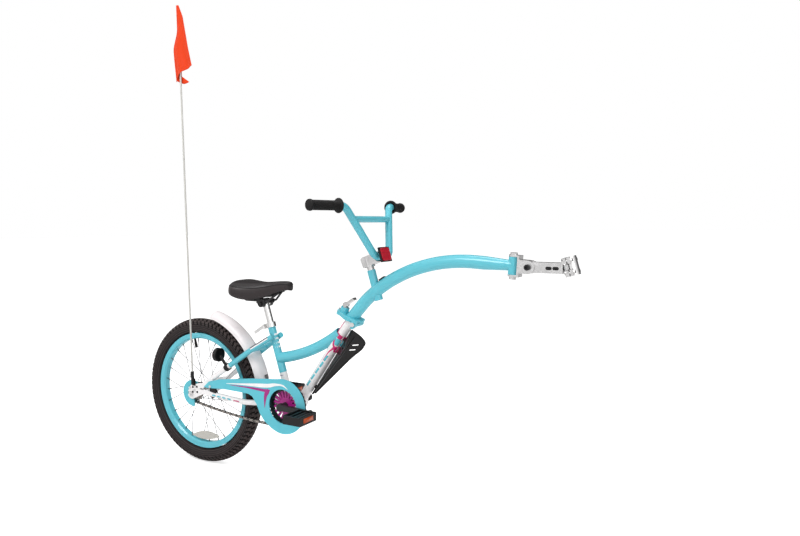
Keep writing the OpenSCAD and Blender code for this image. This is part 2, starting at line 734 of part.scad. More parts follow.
bridge_at = axle + [252, 171];
chain_bridge = bb - [105, 10];
module seatstays() lay() color(teal) {
    difference() {
        both() seat_stay_solid();
        seat_tube_solid(seat_tube_d);
    }
    difference() {
        across(bridge_at, 14, -42, 42);
        both() bent(seat_stay, stay_d - 1, 90);
    }
}

module chainstays() lay() color(white) {
    difference() {
        both() chain_stay_solid();
        shell_solid();
    }
    difference() {
        across(chain_bridge, 14, -30, 30);
        both() bent(chain_stay, stay_d - 1, 110);
    }
}

drop_t = 5;
module dropouts() lay() color(white) difference() {
    both() side(drop_t, -hub_width / 2 - drop_t / 2) difference() {
        union() {
            translate(axle) circle(r = 19);
            translate(axle + [2, 22]) circle(r = 9);
            polygon([axle + [-8, 17], axle + [2, 31], axle + [40, 41], axle + [54, 36], axle + [52, 26],
                     axle + [34, 20], axle + [56, 17], axle + [56, 5], axle + [6, -18]]);
        }
        translate(axle) circle(d = axle_d);
        translate(axle - [30, axle_d / 2]) square([30, axle_d]);
    }
    both() {
        bent(seat_stay, stay_d, 90);
        bent(chain_stay, stay_d, 110);
    }
}

module rear_axle() lay() color(silver) {
    across(axle, axle_d, -hub_width / 2 - 15, hub_width / 2 + 15);
    for (s = [-1, 1]) {
        in_nut = s * (hub_width / 2 - 5.5);
        difference() {
            hex_across(axle, nut_af, in_nut, s * hub_width / 2);
            across(axle, axle_d + 2 * run_gap, -80, 80);
        }
        out_face = s * (hub_width / 2 + drop_t);
        difference() {
            hex_across(axle, nut_af - 2, out_face, out_face + s * 8);
            across(axle, axle_d + 2 * run_gap, -80, 80);
        }
    }
}

collar_h = 16;
release_d = 6;
lever_fall = 14;
lever_y = -14.5;
lever_pin_d = 4;
eye_t = 4;
module at_collar() translate(lift(seat_top)) rotate([0, -seat_lean, 0]) children();
module at_release() at_collar() translate([-seat_tube_d / 2 - 9, 0, -collar_h / 2]) children();

// Seat collar with its clamping rod, the rod's eye and its nut
module seat_clamp() lay() color(silver) {
    at_collar() difference() {
        union() {
            translate([0, 0, -collar_h]) cylinder(d = seat_tube_d + 7, h = collar_h);
            for (s = [-1, 1]) translate([-seat_tube_d / 2 - 15, s * 5 - 3.5, -collar_h])
                cube([15, 7, collar_h]);
        }
        translate([0, 0, -collar_h - over]) cylinder(d = seat_tube_d, h = collar_h + 2 * over);
        translate([-seat_tube_d / 2 - 20, -1, -collar_h - over])
            cube([seat_tube_d / 2 + 10, 2, collar_h + 2 * over]);
        across([-seat_tube_d / 2 - 9, -collar_h / 2], release_d, -30, 30);
    }
    at_release() {
        across([0, 0], release_d, -8.7, 16);
        difference() {
            hex_across([0, 0], 11, 8.5, 15);
            across([0, 0], release_d + 2 * run_gap, 0, 30);
        }
        rotate([0, -lever_fall, 0]) difference() {
            union() {
                translate([0, lever_y, -eye_t / 2]) cylinder(d = 9, h = eye_t);
                translate([-2, lever_y, -eye_t / 2]) cube([4, 6.5, eye_t]);
            }
            translate([0, lever_y, -eye_t]) cylinder(d = lever_pin_d + 2 * run_gap, h = 2 * eye_t);
        }
    }
}

// Quick-release lever of the seat collar: two cams on a pin, and the handle
module seat_lever() lay() color(silver) at_release() rotate([0, -lever_fall, 0]) translate([0, lever_y, 0]) {
    cylinder(d = lever_pin_d, h = 13, center = true);
    difference() {
        union() {
            cylinder(d = 11, h = 13, center = true);
            translate([-42, -4, -5]) cube([42, 5, 10]);
        }
        cylinder(d = 10, h = eye_t + 0.6, center = true);
        translate([-2.6, 0, -eye_t / 2 - 0.3]) cube([20, 20, eye_t + 0.6]);
        translate([0, -20, -eye_t / 2 - 0.3]) cube([20, 22, eye_t + 0.6]);
    }
}

module seatpost() lay() color(silver) {
    difference() {
        rod(lift(seat_at(seat_tube_len - 90)), lift(saddle_at), post_d);
        rod(lift(seat_at(seat_tube_len - 95)), lift(seat_at(seat_tube_len + post_show - 22)), post_d - 4);
        across(saddle_at, 8 + 2 * run_gap, -40, 40);
    }
    difference() {
        across(saddle_at, post_d, -12, 12);
        across(saddle_at, 8 + 2 * run_gap, -40, 40);
        rod(lift(seat_at(seat_tube_len)), lift(saddle_at), post_d - 0.01);
    }
}

// Saddle: a crowned cover on a moulded pan, rails and clamp jaws
rail_at = saddle_at + [0, 9];
module saddle_clamp() lay() color(black) {
    across(saddle_at, 8, -31, 31);
    for (s = [-1, 1]) difference() {
        union() {
            side(13.7, s * 19.15) union() {
                translate(saddle_at) circle(d = 24);
                translate(saddle_at + [-17, 0]) square([34, 14]);
            }
            hex_across(saddle_at, 13, s * 26, s * 32);
        }
        rod(lift(rail_at - [60, 0], s * 22), lift(rail_at + [60, 0], s * 22), rail_d + 2 * run_gap);
        across(saddle_at, 8, -60, 60);
    }
}

module saddle_rails() lay() color(black) both()
    bent([lift(rail_at + [-97, 26.5], 22), lift(rail_at + [-66, 0], 22), lift(rail_at + [26, 0], 22),
          lift(rail_at + [61, 27.8], 7)], rail_d, 12);

saddle_rear = saddle_at - [126, 0];
stations = 26;
around = 24;
function mix(a, b, t) = a + (b - a) * t;
function smooth(t) = let (c = max(0, min(1, t))) c * c * (3 - 2 * c);
function cap(s, c) = s < c ? sqrt(max(0.001, 1 - pow(1 - s / c, 2))) : 1;
function saddle_half_at(s) = mix(saddle_half, 22, smooth((s - 0.16) / 0.62)) * cap(s, 0.2) * cap(1 - s, 0.08);
function saddle_low(s) = mix(mix(20, -1, smooth(s / 0.35)), 44, smooth((s - 0.42) / 0.58));
function saddle_high(s) = mix(76 - 6 * smooth(s / 0.5) + 6 * smooth((s - 0.5) / 0.4), saddle_low(s) + 26,
    1 - cap(s, 0.16) * cap(1 - s, 0.09));
function saddle_arch(s) = mix(34, 10, smooth((s - 0.45) / 0.5));
function signed_pow(v, e) = sign(v) * pow(abs(v), e);
function saddle_mid(s) = mix(saddle_low(s), saddle_high(s), 0.42);
// A point of the saddle's outside at station s, by its angle round the section; the underside is arched
function saddle_skin(s, a) = let (c = signed_pow(cos(a), 0.7), up = sin(a) >= 0)
    [saddle_rear[0] + saddle_len * s,
     saddle_half_at(s) * c * (up ? 1 : 1 - 0.16 * abs(sin(a))),
     saddle_rear[1] + (up ? mix(saddle_mid(s), saddle_high(s), pow(sin(a), 0.75))
        : mix(saddle_mid(s), saddle_low(s), pow(-sin(a), 0.5))
          + saddle_arch(s) * (1 - c * c) * cap(s, 0.12) * cap(1 - s, 0.12))];
function station(i) = mix(0.004, 0.996, 0.5 - 0.5 * cos(180 * i / stations));

module saddle_cover() lay() color(black)
    loft([for (i = [0 : stations]) [for (j = [0 : around - 1]) saddle_skin(station(i), 360 * j / around)]]);

// The pan lies close under the cover
pan_t = 3;
pan_gap = 0.5;
pan_span = 3;
function pan_ring(s) = [
    for (j = [-pan_span : pan_span]) saddle_skin(s, 270 + 360 * j / around) - [0, 0, pan_gap + pan_t],
    for (j = [pan_span : -1 : -pan_span]) saddle_skin(s, 270 + 360 * j / around) - [0, 0, pan_gap]];

module saddle_base() lay() color(black) loft([for (i = [6 : 19]) pan_ring(station(i))]);

// Wheel
// The tyre's casing reaches 3 mm below the rim's edge
rim_r = wheel_d / 2 - tyre_w + 3;
tyre_mid_r = wheel_d / 2 - tyre_w / 2;
rim_wall = 1.8;
rim_inner_r = rim_r - rim_depth;
module on_axle() translate(lift(axle)) rotate([90, 0, 0]) children();

module tyre() lay() color(black) on_axle() rotate_extrude($fn = 96) difference() {
    union() {
        translate([tyre_mid_r, 0]) circle(d = tyre_w);
        for (s = [-1, 1]) translate([rim_r - 5, s * (rim_w / 2 - rim_wall - 2.2) - 2]) square([12, 4]);
    }
    translate([tyre_mid_r, 0]) circle(d = tyre_w - 2 * tyre_wall);
    translate([rim_r - 20, -rim_w / 2 + rim_wall + 4.4]) square([30, rim_w - 2 * rim_wall - 8.8]);
}

module rim() lay() color(teal) difference() {
    on_axle() rotate_extrude($fn = 96) difference() {
        polygon([[rim_r, rim_w / 2], [rim_inner_r + 5, rim_w / 2 - 1], [rim_inner_r, rim_w / 2 - 6],
                 [rim_inner_r, -rim_w / 2 + 6], [rim_inner_r + 5, -rim_w / 2 + 1], [rim_r, -rim_w / 2]]);
        translate([rim_r - 6, -rim_w / 2 + rim_wall]) square([10, rim_w - 2 * rim_wall]);
        polygon([[rim_r - 8, rim_w / 2 - 3], [rim_inner_r + 6, rim_w / 2 - 3.5],
                 [rim_inner_r + 2, rim_w / 2 - 8], [rim_inner_r + 2, -rim_w / 2 + 8],
                 [rim_inner_r + 6, -rim_w / 2 + 3.5], [rim_r - 8, -rim_w / 2 + 3]]);
    }
    valve_rod(valve_d + 2 * run_gap, rim_inner_r - 10, rim_r + 4);
}

valve_d = 8;
function on_wheel(a, r) = axle + r * along(a);
module valve_rod(d, r0, r1) rod(lift(on_wheel(valve_angle, r0)), lift(on_wheel(valve_angle, r1)), d);

module inner_tube() lay() color(black) {
    on_axle() rotate_extrude($fn = 96) difference() {
        translate([tyre_mid_r, 0]) circle(d = tyre_w - 2 * tyre_wall - 2 * seat_gap);
        translate([tyre_mid_r, 0]) circle(d = tyre_w - 2 * tyre_wall - 4);
    }
    valve_rod(valve_d, rim_inner_r - 30, tyre_mid_r - tyre_w / 2 + tyre_wall + 1);
    valve_rod(valve_d + 2, rim_inner_r - 33, rim_inner_r - 14);
}

flange_y = 28;
hub_flange_t = 3;
hub_barrel_d = 34;
bearing_d = 26;
bearing_w = 8;
hub_left = 40;
hub_right = 34;
module hub_shell() lay() color(silver) difference() {
    union() {
        across(axle, hub_barrel_d, -hub_right, hub_left);
        for (s = [-1, 1])
            across(axle, flange_d, s * flange_y - hub_flange_t / 2, s * flange_y + hub_flange_t / 2);
        across(axle, hub_barrel_d - 2, -hub_right - 13, -hub_right);
    }
    across(axle, axle_d + 6, -60, 60);
    across(axle, bearing_d, hub_left - bearing_w, hub_left + over);
    across(axle, bearing_d, -hub_right - 14, -hub_right - 13 + bearing_w);
}

module hub_bearings() lay() color(silver) for (y = [hub_left - bearing_w, -hub_right - 13]) difference() {
    across(axle, bearing_d, y, y + bearing_w);
    across(axle, axle_d + 2 * run_gap, y - over, y + bearing_w + over);
}

nipple_len = 12;
cross_angle = 50;
spoke_shift = 1.35;
module spoke_and_nipple(i) {
    s = i % 2 == 0 ? 1 : -1;
    lead = i % 4 < 2 ? 1 : -1;
    a = 360 * (i + 0.5) / spoke_count;
    hub_a = a + lead * cross_angle;
    y = s * flange_y + lead * spoke_shift;
    root = lift(on_wheel(hub_a, flange_d / 2 + spoke_d / 2 + 0.15), y);
    tip = lift(on_wheel(a, rim_inner_r - 0.6), s * 3 + lead * spoke_shift);
    back = unit(root - tip);
    rod(root, tip + (nipple_len - 1) * back, spoke_d);
    rod(tip + nipple_len * back, tip, 3.6);
}
module spokes() lay() color(silver) for (i = [0 : spoke_count - 1]) spoke_and_nipple(i);

module spoke_reflector() lay() color("#dcd9cf") on_axle() translate([0, 0, 11.2]) rotate(-85)
    translate([rim_inner_r - 25, 0, 0]) difference() {
        linear_extrude(4, center = true) intersection() {
            translate([-rim_inner_r + 25, 0]) circle(r = rim_inner_r - 10, $fn = 256);
            translate([rim_inner_r - 52, 0]) circle(r = rim_inner_r - 38, $fn = 256);
            square([60, 124], center = true);
        }
        for (s = [-1, 1]) translate([0, s * 40, 0]) cylinder(d = 2.2, h = 20, center = true);
    }

// Drive
function pitch_r(teeth) = pitch / (2 * sin(180 / teeth));
ring_pr = pitch_r(ring_teeth);
cog_pr = pitch_r(cog_teeth);
roller_r = 3.9;
tooth_t = 2.8;
tooth_tip = 2.6;
reach = norm(bb - axle);
tilt = atan2(bb[1] - axle[1], bb[0] - axle[0]);
lean = asin((ring_pr - cog_pr) / reach);
top_angle = 90 + tilt + lean;
low_angle = -90 + tilt - lean;
run_len = reach * cos(lean);
top_links = floor(run_len / pitch);
cog_first = (pitch - (run_len - top_links * pitch)) / cog_pr * 180 / PI;
cog_step = 360 / cog_teeth;
ring_step = 360 / ring_teeth;
ring_seats = floor((top_angle - low_angle) / ring_step);
cog_seats = floor((360 - (top_angle - low_angle) - cog_first) / cog_step + 0.02);
ring_top = bb + ring_pr * along(top_angle);
cog_low = axle + cog_pr * along(top_angle + cog_first + cog_seats * cog_step);
ring_low = bb + ring_pr * along(top_angle - ring_seats * ring_step);
low_links = ceil(norm(ring_low - cog_low) / pitch);
// Centres of the chain's rollers: upper run, round the cog, lower run, round the chainring
rollers = [
    for (i = [0 : top_links]) ring_top - i * pitch * along(top_angle - 90),
    for (i = [0 : cog_seats]) axle + cog_pr * along(top_angle + cog_first + i * cog_step),
    for (i = [1 : low_links - 1]) let (t = i / low_links)
        cog_low + t * (ring_low - cog_low) - [0, 4 * chain_sag * t * (1 - t)],
    for (i = [ring_seats : -1 : 1]) bb + ring_pr * along(top_angle - i * ring_step)];

module teeth_outline(teeth, first) difference() {
    circle(r = pitch_r(teeth) + tooth_tip);
    for (i = [0 : teeth - 1]) rotate(first + i * 360 / teeth) translate([pitch_r(teeth), 0]) {
        circle(r = roller_r + 0.25);
        polygon([[0, -roller_r - 0.25], [6, -roller_r - 2.4], [6, roller_r + 2.4], [0, roller_r + 0.25]]);
    }
}

function aside(i, d) = let (n = len(rollers), v = unit(rollers[(i + 1) % n] - rollers[(i + n - 1) % n]))
    rollers[i] + d * [-v[1], v[0]];
band_t = 1.2;
band_y = 2.1;
stub = 0.5;
// Rollers among the teeth are two short stubs, so that the teeth can turn inside the still chain
tooth_room = tooth_tip + roller_r + 0.3;
function in_mesh(p) = norm(p - bb) < ring_pr + tooth_room || norm(p - axle) < cog_pr + tooth_room;
module chain() lay() color("#3a3836") {
    n = len(rollers);
    for (s = [-1, 1]) side(band_t, -chain_line + s * (band_y + band_t / 2)) difference() {
        polygon([for (i = [0 : n - 1]) aside(i, -4.2)]);
        polygon([for (i = [0 : n - 1]) aside(i, 4.2)]);
    }
    for (p = rollers) if (in_mesh(p)) {
        across(p, 2 * roller_r, -chain_line - band_y - band_t / 2, -chain_line - band_y + stub);
        across(p, 2 * roller_r, -chain_line + band_y - stub, -chain_line + band_y + band_t / 2);
    } else across(p, 2 * roller_r, -chain_line - band_y, -chain_line + band_y);
}

spider_slots = 18;
module chainring() lay() color(magenta) difference() {
    union() {
        side(tooth_t, -chain_line) translate(bb) teeth_outline(ring_teeth, top_angle);
        across(bb, spindle_d + 18, -chain_line - 5, -chain_line + 4);
        across(bb, 2 * guard_hole_r + 6, -chain_line - 5, -chain_line - tooth_t / 2);
    }
    across(bb, spindle_d, -80, 80);
    side(30, -chain_line) translate(bb) for (i = [0 : spider_slots - 1]) rotate(i * 360 / spider_slots)
        polygon([[25, -1.2], [50, -4.6], [50, 4.6], [25, 1.2]]);
}

module freewheel_cog() lay() color("#4a4744") difference() {
    union() {
        side(tooth_t, -chain_line) translate(axle) teeth_outline(cog_teeth, top_angle + cog_first);
        across(axle, 50, -chain_line - 4.5, -chain_line + 6);
    }
    across(axle, hub_barrel_d - 2 + 2 * run_gap, -80, 80);
}

crank_in = 67;
crank_t = 12;
pedal_at = bb + crank_len * along(crank_angle);
far_pedal_at = bb - crank_len * along(crank_angle);
module crank_arm(end, y, a) side(crank_t, y) union() {
    translate(bb) circle(r = 13);
    translate(end) circle(r = 11);
    translate(bb) rotate(a) polygon([[0, -9.5], [crank_len, -7.5], [crank_len, 7.5], [0, 9.5]]);
}
module crank() lay() color(black) {
    difference() {
        union() {
            across(bb, spindle_d, -crank_in - 6, crank_in + 6);
            crank_arm(pedal_at, -crank_in - crank_t / 2, crank_angle);
            crank_arm(far_pedal_at, crank_in + crank_t / 2, crank_angle + 180);
        }
        across(pedal_at, 14, -100, -60);
        across(far_pedal_at, 14, 60, 100);
    }
    pedal_axle(pedal_at, -1);
    pedal_axle(far_pedal_at, 1);
}

pedal_in = crank_in + crank_t + 4;
pedal_axle_d = 9;
module pedal_axle(p, s) {
    shoulder = s * (crank_in + crank_t + 3);
    across(p, 14, s * (crank_in + 1), shoulder);
    across(p, pedal_axle_d, shoulder, s * (pedal_in + pedal_w - 8));
}

module pedal(p, s) {
    mid = s * (pedal_in + pedal_w / 2);
    difference() {
        union() {
            translate(lift(p, mid)) difference() {
                cube([pedal_l, pedal_w, pedal_t], center = true);
                cube([pedal_l - 14, pedal_w - 12, pedal_t + 2], center = true);
            }
            across(p, 20, mid - pedal_w / 2, mid + pedal_w / 2);
            translate(lift(p, mid)) for (x = [-1, 1]) translate([x * pedal_l / 4, 0, 0])
                cube([7, pedal_w, pedal_t - 6], center = true);
        }
        across(p, pedal_axle_d + 2 * run_gap, s * 60, s * (pedal_in + pedal_w - 7));
        for (x = [-1, 1]) translate(lift(p, mid)) translate([x * pedal_l / 2, 0, 0])
            cube([5, pedal_w * 0.62, 15], center = true);
    }
    for (x = [-1, 1]) color(orange) translate(lift(p, mid)) translate([x * (pedal_l / 2 - 1.2), 0, 0])
        cube([2.2, pedal_w * 0.62 - 0.4, 14.6], center = true);
}
module pedal_right() lay() color(black) pedal(pedal_at, -1);
module pedal_left() lay() color(black) pedal(far_pedal_at, 1);

// Guards, fender and small parts on the rear frame
guard_y = -61.5;
guard_t = 2.5;
tail_tip = axle + [60, 31];
module guard_outline() union() {
    translate(bb) circle(r = guard_r);
    polygon([bb + [4, guard_r], bb + [-130, guard_r - 13], axle + [133, 65], axle + [84, 52], tail_tip,
             axle + [74, 29], axle + [155, 34], axle + [222, 33], bb + [-143, 24], bb + [-126, 18],
             bb + [-107, -7], bb + [-93, -36], bb + [-76, -57], bb + [-46, -77], bb]);
}
module chain_guard() lay() color(teal) difference() {
    side(guard_t, guard_y) guard_outline();
    across(bb, 2 * guard_hole_r, -80, 0);
}

// Where the guard's clamp holds the chain stay
guard_grip = mix(chain_foot, bb - [173, 13], 0.24);
module guard_bracket() lay() color(black) {
    difference() {
        side(18, guard_y + guard_t / 2 + 9) translate(guard_grip) circle(r = stay_d / 2 + 3.5);
        bent(chain_stay, stay_d, 110);
        translate([0, 17 - stay_edge, 0]) cube([400, 100, 600]);
    }
    difference() {
        side(2, guard_y + guard_t / 2 + 1) translate(guard_grip + [-12, 6]) square([28, 28]);
        bent(chain_stay, stay_d + 0.6, 110);
        bent(seat_stay, stay_d + 1, 90);
    }
}

ring_y = -hub_width / 2 + 1.4;
module cog_guard() lay() color(teal) side(2.4, ring_y) translate(axle) difference() {
    circle(r = 46);
    circle(r = 22);
    polygon([[0, 0], 90 * along(58), 120 * along(0), 90 * along(-80)]);
}

fender_from = 14;
fender_to = 77;
fender_t = 2.2;
module fender_profile(d) polygon([for (i = [-7.5 : 7.5]) let (a = i * 12)
    [fender_r - d - (24 - d) * (1 - pow(cos(a), 0.8)), (fender_w / 2 - d) * sin(a)]]);
module fender() lay() color(white) difference() {
    translate(lift(axle)) rotate([90, 0, 0]) rotate([0, 0, fender_from])
        rotate_extrude(angle = fender_to - fender_from, $fn = 96) difference() {
            fender_profile(0);
            translate([-0.01, 0]) fender_profile(fender_t);
        }
    rod(lift(axle), lift(bridge_at), 5 + 2 * run_gap);
}

module bolt_along(p, q, d, head_d, head_h) {
    rod(p, q, d);
    rod(p - head_h * unit(q - p), p, head_d);
}

fender_low = axle + (fender_r + seat_gap) * along(fender_from + 3);
fender_tab = axle + (fender_r + seat_gap) * along(fender_from - 0.5);
module frame_bolts() lay() color(silver) {
    difference() {
        bolt_along(lift(axle + (fender_r - fender_t - 0.9) * unit(bridge_at - axle)),
                   lift(bridge_at), 5, 11, 3);
        across(bridge_at, 14, -20, 20);
    }
    side(16) difference() {
        polygon([fender_low, fender_low + [2.5, 0.5], fender_tab + [2.5, 0], chain_bridge + [1.5, 7.4],
                 chain_bridge + [-1, 7.4], fender_tab]);
        translate(chain_bridge) circle(d = 14);
    }
    for (p = [axle + [14, 13], axle + [-8, 20]]) {
        across(p, 8, -hub_width / 2 - drop_t - 3, -hub_width / 2 - drop_t);
    }
    across(guard_grip + [-6, 28], 9, guard_y - guard_t / 2 - 3, guard_y - guard_t / 2);
}

// Splash guard: two swept wings on a spine ahead of the down tube
wing_sweep = 34;
spine_off = 20;
wing_top = down_foot + (down_len - 44.3) * down_dir;
wing_t = 3;
module wing_outline() difference() {
    polygon([[10, 0], [-6, 46], [-20, 68], [-32, 70], [-48, 69], [-90, 52], [-250, 8], [-250, 0]]);
    for (x = [-37, -57]) translate([x, 42]) rotate(-20) union() {
        square([6, 16], center = true);
        for (s = [-1, 1]) translate([0, 8 * s]) circle(d = 6);
    }
}
module splash_guard() lay() color(black)
    multmatrix([[down_dir[0], 0, down_front[0], wing_top[0] + spine_off * down_front[0]],
                [0, -1, 0, 0],
                [down_dir[1], 0, down_front[1], wing_top[1] + spine_off * down_front[1]],
                [0, 0, 0, 1]]) {
        for (s = [0, 1]) mirror([0, s, 0]) difference() {
            rotate([wing_sweep, 0, 0]) linear_extrude(wing_t, center = true) wing_outline();
            translate([-300, -50, -50]) cube([400, 50, 150]);
        }
        for (x = [-30, -225]) translate([x, 0, 0]) {
            translate([0, 0, -spine_off + down_tube_d / 2]) cylinder(d = 12, h = spine_off - down_tube_d / 2);
            cylinder(d = 9, h = 6);
        }
    }

pole_y = -66.5;
pole_foot = axle + [13, 34];
pole_dir = [sin(-1.4), cos(1.4)];
module flag_socket() lay() color(black) difference() {
    union() {
        rod(lift(pole_foot, pole_y), lift(pole_foot + 46 * pole_dir, pole_y), pole_d + 5);
        side(4, -hub_width / 2 - drop_t - 2) translate(pole_foot + [-6, -4]) square([12, 24]);
    }
    rod(lift(pole_foot + 4 * pole_dir, pole_y), lift(pole_foot + 60 * pole_dir, pole_y),
        pole_d + 2 * run_gap);
}
module flag_pole() lay() color(white)
    rod(lift(pole_foot + 4 * pole_dir, pole_y), lift(pole_foot + pole_len * pole_dir, pole_y), pole_d);

// The flag hangs from its sleeve on the pole's top, in three lengthwise folds
flag_top = pole_foot + pole_len * pole_dir;
flag_rows = 16;
flag_cols = 12;
flag_t = 0.8;
flag_off = 3.4;
function flag_left(v) = v < 0.35 ? mix(3, -3, v / 0.35) : mix(-3, -15, smooth((v - 0.35) / 0.3));
function flag_right(v) = mix(8, 62, pow(v, 0.8));
function flag_drop(u, v) = flag_h * v - v * v * v * 45 * pow(u, 1.5);
function flag_point(u, v, side) = let (x = mix(flag_left(v), flag_right(v), u))
    [flag_top[0] + x, pole_y - flag_off - 7 * v * (1 - cos(u * 540)) / 2 - side * flag_t,
     flag_top[1] - 4 - flag_drop(u, v)];
function flag_ring(v) = [for (i = [0 : flag_cols]) flag_point(i / flag_cols, v, 1),
                         for (i = [flag_cols : -1 : 0]) flag_point(i / flag_cols, v, 0)];
module flag() lay() color(orange) loft([for (r = [0 : flag_rows]) flag_ring(mix(0.01, 1, r / flag_rows))]);

reflector_c = axle + [121, 147];
stay_grip = stay_foot + 0.54 * (stay_knee - stay_foot);
grip_y = -stay_y + 0.54 * (stay_y - 42);
round_d = 46;
module rear_reflector() lay() color(black) {
    difference() {
        union() {
            rod(lift(stay_grip - 7 * unit(stay_knee - stay_foot), grip_y),
                lift(stay_grip + 7 * unit(stay_knee - stay_foot), grip_y), stay_d + 7);
            rod(lift(stay_grip, grip_y - 2), lift(reflector_c + [8, -3], grip_y - 3), 10);
        }
        bent(seat_stay, stay_d, 90);
    }
    difference() {
        rod(lift(reflector_c + [-6, 0], grip_y - 3), lift(reflector_c + [8, 0], grip_y - 3), round_d);
        rod(lift(reflector_c + [-9, 0], grip_y - 3), lift(reflector_c + [-2, 0], grip_y - 3), round_d - 5);
    }
}
module rear_reflector_lens() lay() color(red)
    rod(lift(reflector_c + [-9, 0], grip_y - 3), lift(reflector_c + [-2, 0], grip_y - 3), round_d - 5.4);

hitch_bar();
clamp_shell();
clamp_bolts();
yoke_bracket();
pitch_bolt();
kingpin();
boom_tube();
bar_mast();
hinge_upper_plate();
boom_pad();
latch_bolt();
latch_lever();
stem_body();
stem_bolts();
handlebar();
grips();
bar_reflector();
bar_reflector_lens();
hinge_lower_plate();
hinge_pin();
down_tube();
top_tube();
seat_tube();
bb_shell();
chainstays();
seatstays();
dropouts();
seat_clamp();
bb_cups();
rear_axle();
chain_guard();
guard_bracket();
cog_guard();
fender();
frame_bolts();
splash_guard();
flag_socket();
flag_pole();
flag();
rear_reflector();
rear_reflector_lens();
chain();
seat_lever();
seatpost();
saddle_cover();
saddle_base();
saddle_rails();
saddle_clamp();
crank();
chainring();
pedal_right();
pedal_left();
freewheel_cog();
hub_shell();
hub_bearings();
spokes();
rim();
tyre();
inner_tube();
spoke_reflector();
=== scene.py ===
import json
import math

import bmesh
import bpy
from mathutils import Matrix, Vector


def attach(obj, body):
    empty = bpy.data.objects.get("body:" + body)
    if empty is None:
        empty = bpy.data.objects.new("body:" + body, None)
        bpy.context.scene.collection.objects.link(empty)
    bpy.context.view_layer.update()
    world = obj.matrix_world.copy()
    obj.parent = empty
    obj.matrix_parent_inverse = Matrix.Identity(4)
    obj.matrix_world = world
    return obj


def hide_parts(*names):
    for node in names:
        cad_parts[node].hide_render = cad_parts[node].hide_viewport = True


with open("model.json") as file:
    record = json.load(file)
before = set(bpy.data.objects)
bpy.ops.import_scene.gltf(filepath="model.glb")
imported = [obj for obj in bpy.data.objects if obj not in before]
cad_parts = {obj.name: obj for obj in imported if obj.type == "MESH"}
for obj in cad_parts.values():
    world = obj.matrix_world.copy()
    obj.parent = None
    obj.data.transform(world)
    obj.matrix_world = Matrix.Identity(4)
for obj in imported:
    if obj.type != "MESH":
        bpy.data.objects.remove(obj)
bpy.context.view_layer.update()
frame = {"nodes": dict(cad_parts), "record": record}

bl_info = {
    "name": "Trailer bike",
    "version": (1, 0, 0),
    "blender": (4, 5, 0),
    "location": "View3D > Sidebar > Trailer bike",
    "description": "Dresses the trailer bike's frame with its tyre, chain, saddle, flag, decals and finishes",
    "category": "Add Mesh",
}

NODES = frame["nodes"]

# The side layout of the part's source: x ahead of the rear axle, h above the ground
# and y to the left, in mm
HITCH = (1297.76, 738.29)
AXLE = (0.0, 256.0)
CRANK_SPINDLE = (402.0, 264.0)
SADDLE_BOLT = (285.26, 583.49)
BAR_CLAMP = (735.11, 750.0)
FLAG_TOP = (-18.08, 1576.6)      # top of the flag's sleeve
FLAG_LENGTH = 264.0
FLAG_FACE = -70.3                # y of the flag's front layer
POLE_LEAN = 1.4                  # degrees from upright, to the rear
NEAR_PEDAL = (515.93, 260.02)
FAR_PEDAL = (288.07, 267.98)
PEDAL_Y = 123
GUARD_FACE = -62.75              # y of the chain guard's outer face
CHAIN_LINE = -42                 # y of the chain's middle
STAY_HEAD = (331.24, 477.73)     # end of the seat stay at the seat tube
STAY_BEND = (257.0, 430.0)       # where the seat stay's straight upper part starts
DOWN_TUBE_ENDS = ((423, 264, 0), (627.09, 557.64, 0))
SEAT_TUBE_ENDS = ((386, 264, 0), (309.3, 507.2, 0))
WING_ANGLE = 34                  # degrees that each wing of the splash guard is swept
CHAIN_PITCH = 12.7
RING_TEETH, COG_TEETH = 36, 16
TYRE_CENTRE_R, TYRE_SECTION_R = 0.229, 0.027    # metres
FLOOR = -0.7384                  # metres, just under the tyre
CAMERA_PLACE = (0.4412, -1.708, 0.1157)
CAMERA_TURN = (85.98, 0.0, 28.92)
CAMERA_LENS = 29.97              # mm on a 36 mm wide sensor
LAMPS_AIM = (-0.6, 0.0, -0.2)


def at(x, h, y=0.0):
    """A point of the side layout, in metres in the object's frame."""
    return Vector(((x - HITCH[0]) / 1000, y / 1000, (h - HITCH[1]) / 1000))


def along(degrees):
    """A unit direction in the side layout, by its angle from straight ahead."""
    return Vector((math.cos(math.radians(degrees)), 0.0, math.sin(math.radians(degrees))))


def linear(hex_colour):
    """An sRGB hex value as linear red, green, blue and alpha."""
    parts = [int(hex_colour[i:i + 2], 16) / 255 for i in (1, 3, 5)]
    return [p / 12.92 if p <= 0.04045 else ((p + 0.055) / 1.055) ** 2.4 for p in parts] + [1.0]


def colour(name, hex_value, note):
    return bpy.props.FloatVectorProperty(
        name=name, description=note, subtype="COLOR", size=4, min=0.0, max=1.0, default=linear(hex_value))


def length(name, value, note, low, high):
    return bpy.props.FloatProperty(
        name=name, description=note, default=value, min=low, max=high, unit="LENGTH", subtype="DISTANCE")


class BikeColours(bpy.types.PropertyGroup):
    """Colours of the trailer bike's paints and plastics."""
    teal: colour("Teal", "#5abfcf", "Powder coat of the boom, handlebar, stays and rim")
    white: colour("White", "#f2efef", "Powder coat of the down tube, seat tube foot and chain stays")
    magenta: colour("Magenta", "#a3167c", "Chainring and stripes")
    flag: colour("Flag", "#e63e06", "Nylon of the safety flag")
    lens_red: colour("Red lens", "#b80f28", "Front and rear reflector lenses")
    lens_clear: colour("Clear lens", "#bcb9b2", "Spoke reflector")
    tyre: colour("Tyre", "#1f191a", "Rubber of the tyre")
    black: colour("Black", "#0e0c0d", "Plastic, grips and saddle")


